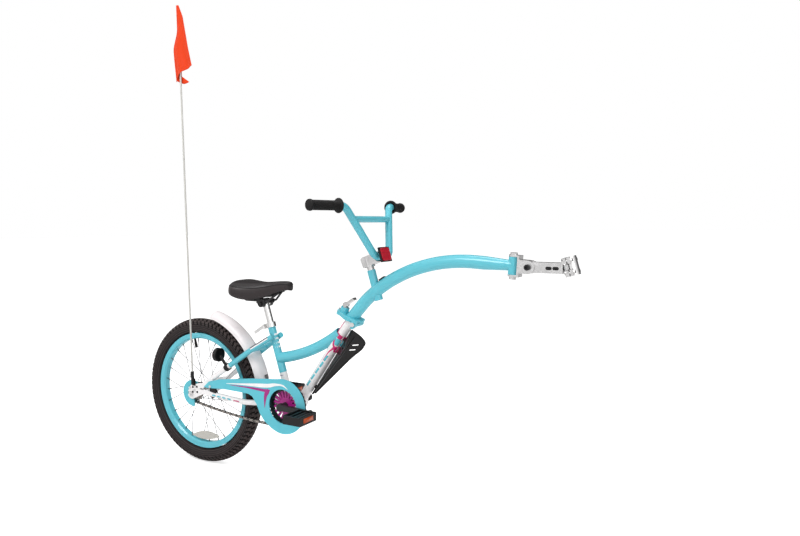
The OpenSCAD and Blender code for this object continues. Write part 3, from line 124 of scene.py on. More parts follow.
class BikeSizes(bpy.types.PropertyGroup):
    """Sizes of the pieces that the frame doesn't fix."""
    tread_height: length("Tread height", 0.0020, "Height of a tread block", 0.0004, 0.003)
    tread_rows: bpy.props.IntProperty(
        name="Tread blocks round", description="Tread blocks round the tyre", default=84, min=40, max=140)
    link_plate: length("Link plate", 0.00055, "Thickness of a chain link plate", 0.0003, 0.001)
    piping: length("Piping", 0.0022, "Radius of the piping round the saddle", 0.001, 0.004)
    weld: length("Weld bead", 0.0021, "Radius of a weld bead", 0.001, 0.004)


# Shaders ---------------------------------------------------------------------------------------


def add_node(tree, kind, inputs=None, **settings):
    """One node with its settings; each input is a number, a colour or another node's output."""
    node = tree.nodes.new(kind)
    for key, value in settings.items():
        setattr(node, key, value)
    for key, value in (inputs or {}).items():
        if isinstance(value, bpy.types.NodeSocket):
            tree.links.new(value, node.inputs[key])
        else:
            node.inputs[key].default_value = value
    return node


def new_material(name, viewport, **sockets):
    """A material with one Principled shader whose constant sockets are set directly."""
    material = bpy.data.materials.new(name)
    material.use_nodes = True
    material.diffuse_color = viewport
    tree = material.node_tree
    shader = tree.nodes["Principled BSDF"]
    for key, value in sockets.items():
        shader.inputs[key.replace("_", " ")].default_value = value
    return material, tree, shader


def scaled(value, factor):
    """A colour made darker or lighter, clipped at 1."""
    return [min(1.0, c * factor) for c in value[:3]] + [1.0]


def noise(tree, vector, scale, detail, rough=0.5):
    """A noise texture's value."""
    return add_node(tree, "ShaderNodeTexNoise", {"Vector": vector, "Scale": scale, "Detail": detail,
                                                 "Roughness": rough}).outputs["Fac"]


def blend(tree, factor, a, b):
    """A colour between a and b."""
    return add_node(tree, "ShaderNodeMix", {"Factor": factor, "A": a, "B": b}, data_type="RGBA").outputs[2]


def remap(tree, value, ends, low, high):
    """A value stretched from its two ends to low and high, and clipped there."""
    return add_node(tree, "ShaderNodeMapRange", {"Value": value, "From Min": ends[0], "From Max": ends[1],
                                                 "To Min": low, "To Max": high}).outputs["Result"]


def join_up(tree, shader, tone, height, strength, distance, rough=None):
    """Gives the shader its colour, its relief (distance in metres) and, where it varies, its roughness."""
    bump = add_node(tree, "ShaderNodeBump", {"Height": height, "Strength": strength, "Distance": distance})
    tree.links.new(tone, shader.inputs["Base Color"])
    tree.links.new(bump.outputs["Normal"], shader.inputs["Normal"])
    if rough:
        tree.links.new(rough, shader.inputs["Roughness"])


def powder_coat(name, paint, gloss=0.3):
    """Polyester powder coat on steel tube: even colour, soft highlight, faint orange peel."""
    material, tree, shader = new_material(
        name, paint, Roughness=gloss, IOR=1.5, Coat_Weight=0.35, Coat_Roughness=0.06)
    place = add_node(tree, "ShaderNodeTexCoord").outputs["Object"]
    cloud = noise(tree, place, 9.0, 4.0, 0.6)
    tone = blend(tree, cloud, scaled(paint, 0.93), scaled(paint, 1.05))
    # Orange peel has bumps about 2 mm apart
    peel = noise(tree, place, 500.0, 2.0)
    # Handling dulls the coat in patches a few centimetres wide
    dull = remap(tree, cloud, (0.3, 0.7), gloss - 0.06, gloss + 0.1)
    join_up(tree, shader, tone, peel, 0.06, 0.0006, dull)
    return material


def bare_metal(name, tint, rough, grain_mm, streak, metallic=1.0):
    """Plated or oiled steel: mirror or satin, with fine drawing marks and rubbed patches."""
    material, tree, shader = new_material(name, tint, Metallic=metallic, Roughness=rough)
    place = add_node(tree, "ShaderNodeTexCoord").outputs["Object"]
    stretch = add_node(tree, "ShaderNodeMapping", {"Vector": place, "Scale": (1.0, streak, 1.0)})
    grain = noise(tree, stretch.outputs["Vector"], 1000.0 / grain_mm, 3.0)
    patch = noise(tree, place, 26.0, 5.0, 0.65)
    rub = remap(tree, patch, (0.3, 0.75), rough * 0.75, min(1.0, rough * 1.6))
    join_up(tree, shader, blend(tree, patch, scaled(tint, 0.78), scaled(tint, 1.08)), grain, 0.12, 0.0002, rub)
    return material


def moulded(name, tint, rough, grain_mm, depth, spread=0.12, **sockets):
    """Moulded plastic or rubber: satin skin with an even texture and a tone that varies in patches."""
    material, tree, shader = new_material(name, tint, Roughness=rough, IOR=1.5, **sockets)
    place = add_node(tree, "ShaderNodeTexCoord").outputs["Object"]
    grain = noise(tree, place, 1000.0 / grain_mm, 2.0)
    cloud = noise(tree, place, 18.0, 5.0, 0.6)
    tone = blend(tree, cloud, scaled(tint, 1.0 - spread), scaled(tint, 1.0 + spread))
    sheen = remap(tree, cloud, (0.3, 0.7), rough - 0.06, min(1.0, rough + 0.08))
    join_up(tree, shader, tone, grain, 0.35, depth, sheen)
    return material


def recolour(tree, factor, inputs):
    """Blends the shader's base colour with another by a factor; "A" or "B" is the other colour."""
    shader = tree.nodes["Principled BSDF"]
    paint = shader.inputs["Base Color"].links[0].from_socket
    both = {"A": paint, "B": paint}
    both.update(inputs)
    tree.links.new(blend(tree, factor, both["A"], both["B"]), shader.inputs["Base Color"])


def distance_from(tree, centre):
    """The distance in metres from an axle that runs across the bike, as a node's output."""
    place = add_node(tree, "ShaderNodeTexCoord")
    flat = add_node(tree, "ShaderNodeVectorMath", {0: place.outputs["Object"], 1: (1.0, 0.0, 1.0)},
                    operation="MULTIPLY")
    reach = add_node(tree, "ShaderNodeVectorMath", {0: flat.outputs[0], 1: (centre.x, 0.0, centre.z)},
                     operation="DISTANCE")
    return reach.outputs["Value"]


def lined_rubber(name, tint, line, centre, out):
    """Cured rubber with fine moulded rings round the sidewall, which are coloured lighter than the rubber."""
    material = moulded(name, tint, 0.66, 0.7, 0.0004, 0.3, Specular_IOR_Level=0.25)
    tree = material.node_tree
    reach = distance_from(tree, centre)
    # Rings lie 6.5 mm apart
    count = add_node(tree, "ShaderNodeMath", {0: reach, 1: 154.0}, operation="MULTIPLY")
    part = add_node(tree, "ShaderNodeMath", {0: count.outputs[0]}, operation="FRACT")
    ring = remap(tree, part.outputs[0], (0.76, 0.9), 0.0, 0.7)
    inside = add_node(tree, "ShaderNodeMath", {0: reach, 1: out}, operation="LESS_THAN")
    lined = add_node(tree, "ShaderNodeMath", {0: ring, 1: inside.outputs[0]}, operation="MULTIPLY")
    # The tread's crown is greyer from the road
    worn = remap(tree, inside.outputs[0], (0.0, 1.0), 0.38, 0.0)
    share = add_node(tree, "ShaderNodeMath", {0: lined.outputs[0], 1: worn}, operation="MAXIMUM")
    recolour(tree, share.outputs[0], {"B": line})
    return material


def prism_lens(name, tint):
    """Moulded acrylic reflector: a glossy face over rows of small corner prisms, each painted lighter in its middle
    and darker at its edges as a painted glint and painted shade.
    """
    material, tree, shader = new_material(
        name, tint, Roughness=0.2, IOR=1.49, Coat_Weight=0.25, Coat_Roughness=0.03, Specular_IOR_Level=0.25)
    place = add_node(tree, "ShaderNodeTexCoord").outputs["Object"]
    # Real prisms are 2.5 mm apart; drawn at 3.5 mm so that they show
    cells = add_node(tree, "ShaderNodeTexVoronoi", {"Vector": place, "Scale": 285.0, "Randomness": 0.12},
                     feature="F1", distance="CHEBYCHEV").outputs["Distance"]
    # Each prism's colour runs from a painted glint in its middle to painted shade at its edges
    join_up(tree, shader, blend(tree, cells, scaled(tint, 1.5), scaled(tint, 0.35)), cells, 0.7, 0.0012)
    return material


def vinyl(name, tint, rough):
    """Grained upholstery vinyl: pebbled leather grain, soft highlight, and a tone that varies in creased patches."""
    material, tree, shader = new_material(name, tint, Roughness=rough, IOR=1.5, Coat_Weight=0.1,
                                          Coat_Roughness=0.25, Specular_IOR_Level=0.3)
    place = add_node(tree, "ShaderNodeTexCoord").outputs["Object"]
    # Grain pebbles about 1.3 mm across
    pebble = add_node(tree, "ShaderNodeTexVoronoi", {"Vector": place, "Scale": 780.0}, feature="SMOOTH_F1")
    crease = noise(tree, place, 60.0, 6.0)
    height = add_node(tree, "ShaderNodeMath", {0: pebble.outputs["Distance"], 1: crease}, operation="ADD")
    join_up(tree, shader, blend(tree, crease, scaled(tint, 0.8), scaled(tint, 1.3)), height.outputs[0], 0.4, 0.0006)
    return material


def nylon(name, tint):
    """Plain-woven nylon: thin and bright, with a fine square weave and next to no shine."""
    material, tree, shader = new_material(name, tint, Roughness=0.55, IOR=1.53, Sheen_Weight=0.08,
                                          Sheen_Roughness=0.4, Specular_IOR_Level=0.2)
    place = add_node(tree, "ShaderNodeTexCoord").outputs["Object"]
    # Real threads are 0.25 mm apart; drawn at 1 mm so that they show
    warp, weft = [add_node(tree, "ShaderNodeTexWave", {"Vector": place, "Scale": 500.0}, bands_direction=way)
                  for way in ("X", "Z")]
    weave = add_node(tree, "ShaderNodeMath", {0: warp.outputs["Fac"], 1: weft.outputs["Fac"]},
                     operation="MAXIMUM").outputs[0]
    # The gaps between the threads are painted darker: painted shade in the weave
    join_up(tree, shader, blend(tree, weave, scaled(tint, 0.82), tint), weave, 0.3, 0.0002)
    return material


MATERIALS = {}


def finishes():
    """Makes every material once, from the scene's colours."""
    if MATERIALS:
        return MATERIALS
    c = bpy.context.scene.bike_colours
    grey = linear("#dcdbdb")
    MATERIALS.update({
        "teal_paint": powder_coat("Teal_powder_coat", list(c.teal)),
        "white_paint": powder_coat("White_powder_coat", list(c.white)),
        "zinc_steel": bare_metal("Zinc_plated_steel", grey, 0.24, 0.5, 0.2),
        "chrome": bare_metal("Polished_chrome_plate", linear("#e6e5e4"), 0.09, 0.8, 1.0),
        "dark_steel": bare_metal("Black_oxide_steel", linear("#151316"), 0.42, 0.6, 1.0, 0.12),
        "chain_steel": bare_metal("Oiled_bright_steel", linear("#a39c96"), 0.3, 0.6, 1.0, 0.95),
        "rubber": moulded("Moulded_soft_rubber", list(c.black), 0.6, 0.5, 0.0003, Specular_IOR_Level=0.25),
        "tyre_rubber": lined_rubber("Cured_tyre_rubber", list(c.tyre), linear("#5a4e4c"), at(*AXLE), 0.2435),
        # The near-black rubber of the tread's grooves is painted shade in the recesses
        "groove_shade_rubber": moulded("Tyre_rubber_painted_with_groove_shade", linear("#0b0909"), 0.8, 0.7, 0.0004, 0.2,
                                 Specular_IOR_Level=0.1),
        "black_plastic": moulded("Moulded_black_polypropylene", list(c.black), 0.42, 0.8, 0.0004,
                                 Specular_IOR_Level=0.3),
        "teal_plastic": moulded("Moulded_teal_polypropylene", list(c.teal), 0.36, 1.1, 0.0001, 0.04),
        "white_plastic": moulded("Moulded_white_polypropylene", linear("#efe9ea"), 0.3, 1.2, 0.0001, 0.03),
        "magenta_plastic": moulded("Moulded_magenta_nylon", list(c.magenta), 0.36, 1.0, 0.0002, 0.1),
        "red_lens": prism_lens("Moulded_red_acrylic", list(c.lens_red)),
        "clear_lens": prism_lens("Moulded_clear_acrylic", list(c.lens_clear)),
        "amber_lens": prism_lens("Moulded_amber_acrylic", linear("#b0430c")),
        "seat_vinyl": vinyl("Grained_black_vinyl", linear("#1f1a1b"), 0.4),
        "seat_side": vinyl("Grained_brown_black_vinyl", linear("#292223"), 0.46),
        "flag_cloth": nylon("Woven_orange_nylon", list(c.flag)),
        "spoke_steel": bare_metal("Drawn_stainless_wire", linear("#77777a"), 0.35, 0.5, 1.0),
        "pole_fibreglass": moulded("Pultruded_white_fibreglass", linear("#c9c7c2"), 0.4, 1.0, 0.0001, 0.05),
        "decal_white": moulded("Printed_white_film", linear("#f4f2f2"), 0.3, 1.5, 0.00004, 0.02),
        "decal_teal": moulded("Printed_teal_film", list(c.teal), 0.3, 1.5, 0.00004, 0.03),
        "decal_magenta": moulded("Printed_magenta_film", list(c.magenta), 0.3, 1.5, 0.00004, 0.04),
        "decal_pink": moulded("Printed_pink_film", linear("#cf1a6c"), 0.3, 1.5, 0.00004, 0.04),
        "decal_dark": moulded("Printed_dark_film", linear("#35333c"), 0.35, 1.5, 0.00004, 0.08),
        "decal_grey": moulded("Printed_lilac_grey_film", linear("#8f8aa0"), 0.35, 1.5, 0.00004, 0.08),
    })
    return MATERIALS


# Mesh helpers ----------------------------------------------------------------------------------


def new_piece(name, shape, finish, body, smooth=True, stands_for=()):
    """A mesh piece in the object's frame, from its points and faces, that rides on a body."""
    verts, faces = shape
    mesh = bpy.data.meshes.new(name)
    mesh.from_pydata([tuple(v) for v in verts], [], faces)
    work = bmesh.new()
    work.from_mesh(mesh)
    bmesh.ops.recalc_face_normals(work, faces=work.faces)
    work.to_mesh(mesh)
    work.free()
    mesh.materials.append(finishes()[finish])
    for polygon in mesh.polygons:
        polygon.use_smooth = smooth
    piece = bpy.data.objects.new(name, mesh)
    bpy.context.scene.collection.objects.link(piece)
    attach(piece, body)
    if stands_for:
        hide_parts(*stands_for)
    return piece


def grid_faces(rows, cols, closed_rows=False, closed_cols=False):
    """Quads of a grid of points, row by row; a direction may close on itself."""
    faces = []
    for r in range(rows if closed_rows else rows - 1):
        for c in range(cols if closed_cols else cols - 1):
            a, b = r * cols + c, r * cols + (c + 1) % cols
            d, e = ((r + 1) % rows) * cols + c, ((r + 1) % rows) * cols + (c + 1) % cols
            faces.append((a, b, e, d))
    return faces


def tube(points, radius, sides=12, closed=False):
    """Points and faces of a round tube that follows a line; radius is one number or one for each point."""
    count = len(points)
    radii = radius if isinstance(radius, (list, tuple)) else [radius] * count
    verts = []
    normal = None
    for i, p in enumerate(points):
        ahead = points[(i + 1) % count] if closed or i < count - 1 else p
        behind = points[i - 1] if closed or i > 0 else p
        step = (ahead - behind).normalized()
        if normal is None:
            normal = step.orthogonal().normalized()
        normal = (normal - normal.dot(step) * step).normalized()
        side = step.cross(normal)
        for k in range(sides):
            a = 2 * math.pi * k / sides
            verts.append(p + radii[i] * (math.cos(a) * normal + math.sin(a) * side))
    faces = grid_faces(count, sides, closed, True)
    if not closed:
        faces.append(tuple(range(sides)))
        faces.append(tuple(reversed(range((count - 1) * sides, count * sides))))
    return verts, faces


def join(*lots):
    """Several lots of points and faces as one."""
    verts, faces = [], []
    for v, f in lots:
        base = len(verts)
        verts += list(v)
        faces += [tuple(i + base for i in face) for face in f]
    return verts, faces


def lathe(profile, centre, axis, turns):
    """A surface of revolution; profile is (radius, place along the axis) in metres."""
    axis = axis.normalized()
    u = axis.orthogonal().normalized()
    v = axis.cross(u)
    verts = []
    for k in range(turns):
        a = 2 * math.pi * k / turns
        out = math.cos(a) * u + math.sin(a) * v
        verts += [centre + r * out + z * axis for r, z in profile]
    return verts, grid_faces(turns, len(profile), True, False)


def plate(outline, y0, y1):
    """A flat plate in the side layout between y0 and y1, from an outline in mm."""
    n = len(outline)
    verts = [at(x, h, y0) for x, h in outline] + [at(x, h, y1) for x, h in outline]
    faces = [tuple(range(n)), tuple(range(2 * n - 1, n - 1, -1))]
    faces += [(i, (i + 1) % n, n + (i + 1) % n, n + i) for i in range(n)]
    return verts, faces


def curve_points(points, per_span=10):
    """A smooth line through points in mm, as a list of (x, h)."""
    out = []
    p = [points[0]] + list(points) + [points[-1]]
    for i in range(1, len(p) - 2):
        for k in range(per_span):
            t = k / per_span
            out.append(tuple(0.5 * (2 * p[i][j] + (p[i + 1][j] - p[i - 1][j]) * t
                       + (2 * p[i - 1][j] - 5 * p[i][j] + 4 * p[i + 1][j] - p[i + 2][j]) * t * t
                       + (3 * p[i][j] - p[i - 1][j] - 3 * p[i + 1][j] + p[i + 2][j]) * t ** 3) for j in (0, 1)))
    return out + [tuple(points[-1])]


def straight(a, b, count):
    """Points in equal steps on a straight line from a to b."""
    return [(mix(a[0], b[0], i / count), mix(a[1], b[1], i / count)) for i in range(count + 1)]


# Decals follow a surface given as a function of the side layout ---------------------------------


def flat_face(y):
    """The skin of a flat face: the same y everywhere."""
    return lambda x, h: y


def on_rod(p0, p1, radius, side=-1):
    """The y of a round tube's near or far skin over a point of the side layout; p0 and p1 are (x, h, y) in mm."""
    ux, uh = p1[0] - p0[0], p1[1] - p0[1]
    run = math.hypot(ux, uh)
    ux, uh = ux / run, uh / run

    def skin(x, h):
        t = (x - p0[0]) * ux + (h - p0[1]) * uh
        off = (x - p0[0]) * uh - (h - p0[1]) * ux
        axis_y = p0[2] + (p1[2] - p0[2]) * t / run
        return axis_y + side * math.sqrt(max(0.0, radius ** 2 - off ** 2))
    return skin


def film(name, line, widths, skin, finish, lift=0.15, side=-1, across=6):
    """A printed stripe on the rear frame along a line in mm; widths are spread evenly from start to end."""
    n = len(line)
    top, low = [], []
    for i, (x, h) in enumerate(line):
        ax, ah = line[max(0, i - 1)]
        bx, bh = line[min(n - 1, i + 1)]
        d = math.hypot(bx - ax, bh - ah) or 1.0
        t = i / (n - 1) * (len(widths) - 1)
        k = min(int(t), len(widths) - 2)
        w = widths[k] + (widths[k + 1] - widths[k]) * (t - k)
        for j in range(across + 1):
            s = w * (j / across - 0.5)
            px, ph = x - (bh - ah) / d * s, h + (bx - ax) / d * s
            y = skin(px, ph)
            top.append(at(px, ph, y + side * lift))
            low.append(at(px, ph, y - side * 0.05))
    faces = grid_faces(n, across + 1)
    base = len(top)
    faces += [tuple(reversed([v + base for v in f])) for f in grid_faces(n, across + 1)]
    cols = across + 1
    rim = [j for j in range(cols)] + [i * cols + across for i in range(1, n)]
    rim += [(n - 1) * cols + j for j in range(across - 1, -1, -1)] + [i * cols for i in range(n - 2, 0, -1)]
    for a, b in zip(rim, rim[1:] + rim[:1]):
        faces.append((a, b, b + base, a + base))
    new_piece(name, (top + low, faces), finish, "rear_frame")


def paint_all():
    """Gives every CAD node its slot's material, and the painted tubes that change colour their own."""
    m = finishes()
    c = bpy.context.scene.bike_colours
    slots = {item["node"]: item["material_slot"] for item in frame["record"]["subparts"]}
    for name, node in NODES.items():
        node.data.materials.clear()
        node.data.materials.append(m[slots[name]])
    split = two_tone("Teal_over_white_powder_coat", list(c.teal), list(c.white), at(353.0, 357.6),
                     Vector((-math.sin(math.radians(17.5)), 0, math.cos(math.radians(17.5)))))
    NODES["seat_tube"].data.materials[0] = split
    stays = two_tone("Teal_above_white_powder_coat", list(c.teal), list(c.white), at(168.0, 376.0),
                     Vector((0.82, 0, 0.57)))
    NODES["seatstays"].data.materials[0] = stays
    spider = ring_tone("Moulded_magenta_spider_in_black_ring", list(c.magenta), list(c.black),
                       at(*CRANK_SPINDLE), 0.0475)
    NODES["chainring"].data.materials[0] = spider
    NODES["flag_pole"].data.materials[0] = m["pole_fibreglass"]
    for name, node in NODES.items():
        if name.startswith("spoke") and "reflector" not in name:
            node.data.materials[0] = m["spoke_steel"]


def ring_tone(name, inside, outside, centre, radius):
    """Moulded spider inside a black guard ring: the colour changes at a radius from the spindle."""
    material = moulded(name, inside, 0.34, 1.0, 0.0002, 0.08)
    tree = material.node_tree
    rim = add_node(tree, "ShaderNodeMath", {0: distance_from(tree, centre), 1: radius}, operation="GREATER_THAN")
    recolour(tree, rim.outputs[0], {"B": outside})
    return material


def two_tone(name, above, below, point, direction):
    """Powder coat sprayed in two masked colours that meet in a sharp line across the tube."""
    material = powder_coat(name, above)
    tree = material.node_tree
    place = add_node(tree, "ShaderNodeTexCoord")
    offset = add_node(tree, "ShaderNodeVectorMath", {0: place.outputs["Object"], 1: point}, operation="SUBTRACT")
    height = add_node(tree, "ShaderNodeVectorMath", {0: offset.outputs[0], 1: direction}, operation="DOT_PRODUCT")
    side = add_node(tree, "ShaderNodeMath", {0: height.outputs["Value"], 1: 0.0}, operation="GREATER_THAN")
    recolour(tree, side.outputs[0], {"A": below})
    return material


# Soft and detailed pieces ----------------------------------------------------------------------


def mix(a, b, t):
    """The value a share t of the way from a to b."""
    return a + (b - a) * t


def smooth(t):
    """An S-shaped step from 0 to 1."""
    c = max(0.0, min(1.0, t))
    return c * c * (3 - 2 * c)


def cap(s, c):
    """A round end: the share of the full size at distance s from it, with a cap c long."""
    return math.sqrt(max(0.001, 1 - (1 - s / c) ** 2)) if s < c else 1.0


def signed_pow(v, e):
    """A power that keeps its sign."""
    return math.copysign(abs(v) ** e, v)


def saddle_skin(s, a):
    """A point of the saddle's skin at station s from the rear, by its angle in degrees round the section."""
    half = mix(75, 22, smooth((s - 0.16) / 0.62)) * cap(s, 0.2) * cap(1 - s, 0.08)
    low = mix(mix(20, -1, smooth(s / 0.35)), 44, smooth((s - 0.42) / 0.58))
    high = mix(76 - 6 * smooth(s / 0.5) + 6 * smooth((s - 0.5) / 0.4), low + 26, 1 - cap(s, 0.16) * cap(1 - s, 0.09))
    arch = mix(34, 10, smooth((s - 0.45) / 0.5))
    mid = mix(low, high, 0.42)
    sin, cos = math.sin(math.radians(a)), math.cos(math.radians(a))
    c = signed_pow(cos, 0.7)
    if sin >= 0:
        h = mix(mid, high, sin ** 0.75)
        # A shallow channel runs along the middle of the top
        h -= 1.6 * math.exp(-(c / 0.12) ** 2) * smooth((s - 0.1) / 0.15) * smooth((0.85 - s) / 0.2)
    else:
        h = mix(mid, low, (-sin) ** 0.5) + arch * (1 - c * c) * cap(s, 0.12) * cap(1 - s, 0.12)
    y = half * c * (1 if sin >= 0 else 1 - 0.16 * abs(sin))
    return at(SADDLE_BOLT[0] - 126 + 235 * s, SADDLE_BOLT[1] + h, y)


def make_saddle():
    """The saddle's cushion with its side panels, the piping over their seams, and stitching."""
    stations, around = 72, 96
    rows = [0.5 - 0.5 * math.cos(math.pi * i / stations) for i in range(stations + 1)]
    rows = [mix(0.004, 0.996, r) for r in rows]
    verts = [saddle_skin(s, 360 * j / around) for s in rows for j in range(around)]
    faces = grid_faces(len(rows), around, False, True)
    faces.append(tuple(range(around)))
    faces.append(tuple(reversed(range(stations * around, (stations + 1) * around))))
    seat = new_piece("Saddle_cushion", (verts, faces), "seat_vinyl", "saddle", stands_for=("saddle_cover",))
    seat.data.materials.append(finishes()["seat_side"])
    for i, polygon in enumerate(seat.data.polygons):
        j = i % around
        angle = 360 * (j + 0.5) / around
        if i < stations * around and not 27 < angle < 153 and not 225 < angle < 315:
            polygon.material_index = 1
    # Piping covers the seam between the top panel and each side panel
    sizes = bpy.context.scene.bike_sizes
    beads = []
    for a in (27, 153):
        line = [saddle_skin(s, a) for s in rows[2:-2]]
        beads.append(tube(line, sizes.piping * 0.6, 8))
    new_piece("Saddle_piping", join(*beads), "rubber", "saddle")
    # Thread lies 4 mm above the piping in 3 mm stitches
    stitches = []
    for a in (33, 147):
        line = [saddle_skin(mix(0.05, 0.95, i / 130), a) for i in range(131)]
        for i in range(0, 130, 2):
            out = Vector((0, math.copysign(0.25, math.cos(math.radians(a))), 0.5)) / 1000
            stitches.append(tube([line[i] + out * 0.4, (line[i] + line[i + 1]) / 2 + out, line[i + 1] + out * 0.4],
                                 0.00035, 6))
    new_piece("Saddle_stitching", join(*stitches), "decal_dark", "saddle")


GRIP_DIR = Vector((-math.tan(math.radians(12.5)), 1.0, 0.0)).normalized()


def make_grips():
    """Both grips: a flange, turned ribs and a closed end."""
    lots = []
    for s in (-1, 1):
        tip = at(BAR_CLAMP[0] - 78.23, BAR_CLAMP[1] + 148, 251 * s)
        axis = Vector((GRIP_DIR.x, s * GRIP_DIR.y, 0))
        profile = [(0.0002, 0.0048), (0.0132, 0.0050), (0.0158, 0.0036), (0.0164, 0.0), (0.0161, -0.0026)]
        profile.append((0.0140, -0.0034))
        for i in range(36):
            z = -0.0040 - i * 0.00268
            profile += [(0.0130, z), (0.0142, z - 0.0006), (0.0142, z - 0.0015), (0.0130, z - 0.0021)]
        profile += [(0.0141, -0.1015), (0.0205, -0.1042), (0.0216, -0.1052), (0.0216, -0.1060)]
        profile += [(0.0205, -0.1070), (0.01115, -0.1070), (0.01115, 0.0003), (0.0002, 0.0003)]
        lots.append(lathe(profile, tip, axis, 56))
    new_piece("Grips_moulded", join(*lots), "rubber", "bars", stands_for=("grips",))


def make_tyre():
    """Tyre casing with sidewall lines, and a slanted block tread over the crown whose grooves are painted near black
    as painted shade.
    """
    sizes = bpy.context.scene.bike_sizes
    block, per = sizes.tread_rows, 8
    turns = block * per
    outer = [i / 64 for i in range(65)]
    centre = at(*AXLE)
    verts, grooves = [], set()
    depth = sizes.tread_height
    for k in range(turns):
        a = 2 * math.pi * k / turns
        for u in outer:
            theta = math.radians(mix(-146, 146, u))
            shift = (k / per + abs(theta) * 0.9) % 1.0
            shoulder = abs(math.degrees(theta))
            height = -depth
            if shoulder < 8:
                height = 0.0
            elif shoulder < 36:
                height = 0.0 if (shift < 0.66 and not 20 < shoulder < 23) else -depth
            elif shoulder < 40:
                height = -depth
            elif shoulder < 78:
                height = 0.0 if (shift + 0.5) % 1.0 < 0.62 else -depth
            for ring in (88, 96, 112, 128):
                if abs(shoulder - ring) < 2.3:
                    height = -0.4 * depth
            if height < -0.5 * depth and shoulder < 78:
                grooves.add(len(verts))
            r = TYRE_CENTRE_R + (TYRE_SECTION_R + height) * math.cos(theta)
            if shoulder > 100:
                r = TYRE_CENTRE_R + (TYRE_SECTION_R + height) * math.cos(theta) * 0.98
            y = (TYRE_SECTION_R + height) * math.sin(theta)
            verts.append(centre + Vector((r * math.cos(a), y, r * math.sin(a))))
        for u in reversed(outer):
            theta = math.radians(mix(-146, 146, u))
            r = TYRE_CENTRE_R + 0.0232 * math.cos(theta)
            verts.append(centre + Vector((r * math.cos(a), 0.0232 * math.sin(theta), r * math.sin(a))))
    faces = grid_faces(turns, 2 * len(outer), True, True)
    tyre = new_piece("Tyre_with_tread", (verts, faces), "tyre_rubber", "wheel", stands_for=("tyre",))
    tyre.data.materials.append(finishes()["groove_shade_rubber"])
    # Faces in the tread's grooves take the near-black rubber: painted shade
    for polygon in tyre.data.polygons:
        if sum(v in grooves for v in polygon.vertices) >= 3:
            polygon.material_index = 1


def chain_pins():
    """Centres of the chain's pins in the side layout: upper run, cog, sagging lower run, chainring."""
    pitch = CHAIN_PITCH
    ring_step, cog_step = 360 / RING_TEETH, 360 / COG_TEETH
    ring_r = pitch / 2 / math.sin(math.pi / RING_TEETH)
    cog_r = pitch / 2 / math.sin(math.pi / COG_TEETH)
    dx, dh = CRANK_SPINDLE[0] - AXLE[0], CRANK_SPINDLE[1] - AXLE[1]
    apart = math.hypot(dx, dh)
    tilt, lean = math.degrees(math.atan2(dh, dx)), math.degrees(math.asin((ring_r - cog_r) / apart))
    top, low = 90 + tilt + lean, -90 + tilt - lean
    run = apart * math.cos(math.radians(lean))
    links = int(run / pitch)
    first = (pitch - (run - links * pitch)) / cog_r * 180 / math.pi

    def on(centre, r, a):
        return centre[0] + r * math.cos(math.radians(a)), centre[1] + r * math.sin(math.radians(a))
    ring_seats = int((top - low) / ring_step)
    cog_seats = int((360 - (top - low) - first) / cog_step + 0.02)
    start = on(CRANK_SPINDLE, ring_r, top)
    back = math.radians(top - 90)
    pins = [(start[0] - i * pitch * math.cos(back), start[1] - i * pitch * math.sin(back)) for i in range(links + 1)]
    pins += [on(AXLE, cog_r, top + first + i * cog_step) for i in range(cog_seats + 1)]
    cog_low = pins[-1]
    ring_low = on(CRANK_SPINDLE, ring_r, top - ring_seats * ring_step)
    count = math.ceil(math.hypot(ring_low[0] - cog_low[0], ring_low[1] - cog_low[1]) / pitch)
    for i in range(1, count):
        t = i / count
        pins.append((mix(cog_low[0], ring_low[0], t), mix(cog_low[1], ring_low[1], t) - 36 * t * (1 - t)))
    return pins + [on(CRANK_SPINDLE, ring_r, top - i * ring_step) for i in range(ring_seats, 0, -1)]


def waisted_plate(a, b, y, thick):
    """A chain plate from pin a to pin b: two round eyes and a narrow waist."""
    dx, dh = b[0] - a[0], b[1] - a[1]
    run = math.hypot(dx, dh)
    ux, uh = dx / run, dh / run
    outline = []
    for centre, turn in ((0.0, 90), (run, -90)):
        for k in range(9):
            g = math.radians(turn + k * 22.5)
            outline.append((centre + 4.15 * math.cos(g), 4.15 * math.sin(g)))
        outline.append((run / 2, 2.9 if turn < 0 else -2.9))
    points = [(a[0] + s * ux - n * uh, a[1] + s * uh + n * ux) for s, n in outline]
    return plate(points, y, y + thick)


def make_chain():
    """Roller chain link by link: blackened inner plates, bright outer plates and rollers."""
    pins = chain_pins()
    n = len(pins)
    outer, inner, rollers = [], [], []
    thick = bpy.context.scene.bike_sizes.link_plate * 1000
    for i, (a, b) in enumerate(zip(pins, pins[1:] + pins[:1])):
        for s in (-1, 1):
            if i % 2:
                outer.append(waisted_plate(a, b, CHAIN_LINE + s * 3.3 - (thick if s < 0 else 0) + s * -0.6, thick))
            else:
                inner.append(waisted_plate(a, b, CHAIN_LINE + s * 2.15 - (thick if s < 0 else 0), thick))
        centre = at(a[0], a[1], CHAIN_LINE)
        rollers.append(lathe([(0.0001, -0.0039), (0.0018, -0.0039), (0.0018, -0.0021), (0.0037, -0.0021),
                              (0.0037, 0.0021), (0.0018, 0.0021), (0.0018, 0.0039), (0.0001, 0.0039)],
                             centre, Vector((0, 1, 0)), 12))
    chain = new_piece("Chain_plates", join(*(outer + inner)), "chain_steel", "rear_frame", smooth=False,
                      stands_for=("chain",))
    chain.data.materials.append(finishes()["dark_steel"])
    bright = sum(len(f) for _, f in outer)
    for i, polygon in enumerate(chain.data.polygons):
        polygon.material_index = 0 if i < bright else 1
    new_piece("Chain_rollers", join(*rollers), "dark_steel", "rear_frame", stands_for=("chain",))
    if n % 2:
        raise RuntimeError("the chain has an odd number of links")


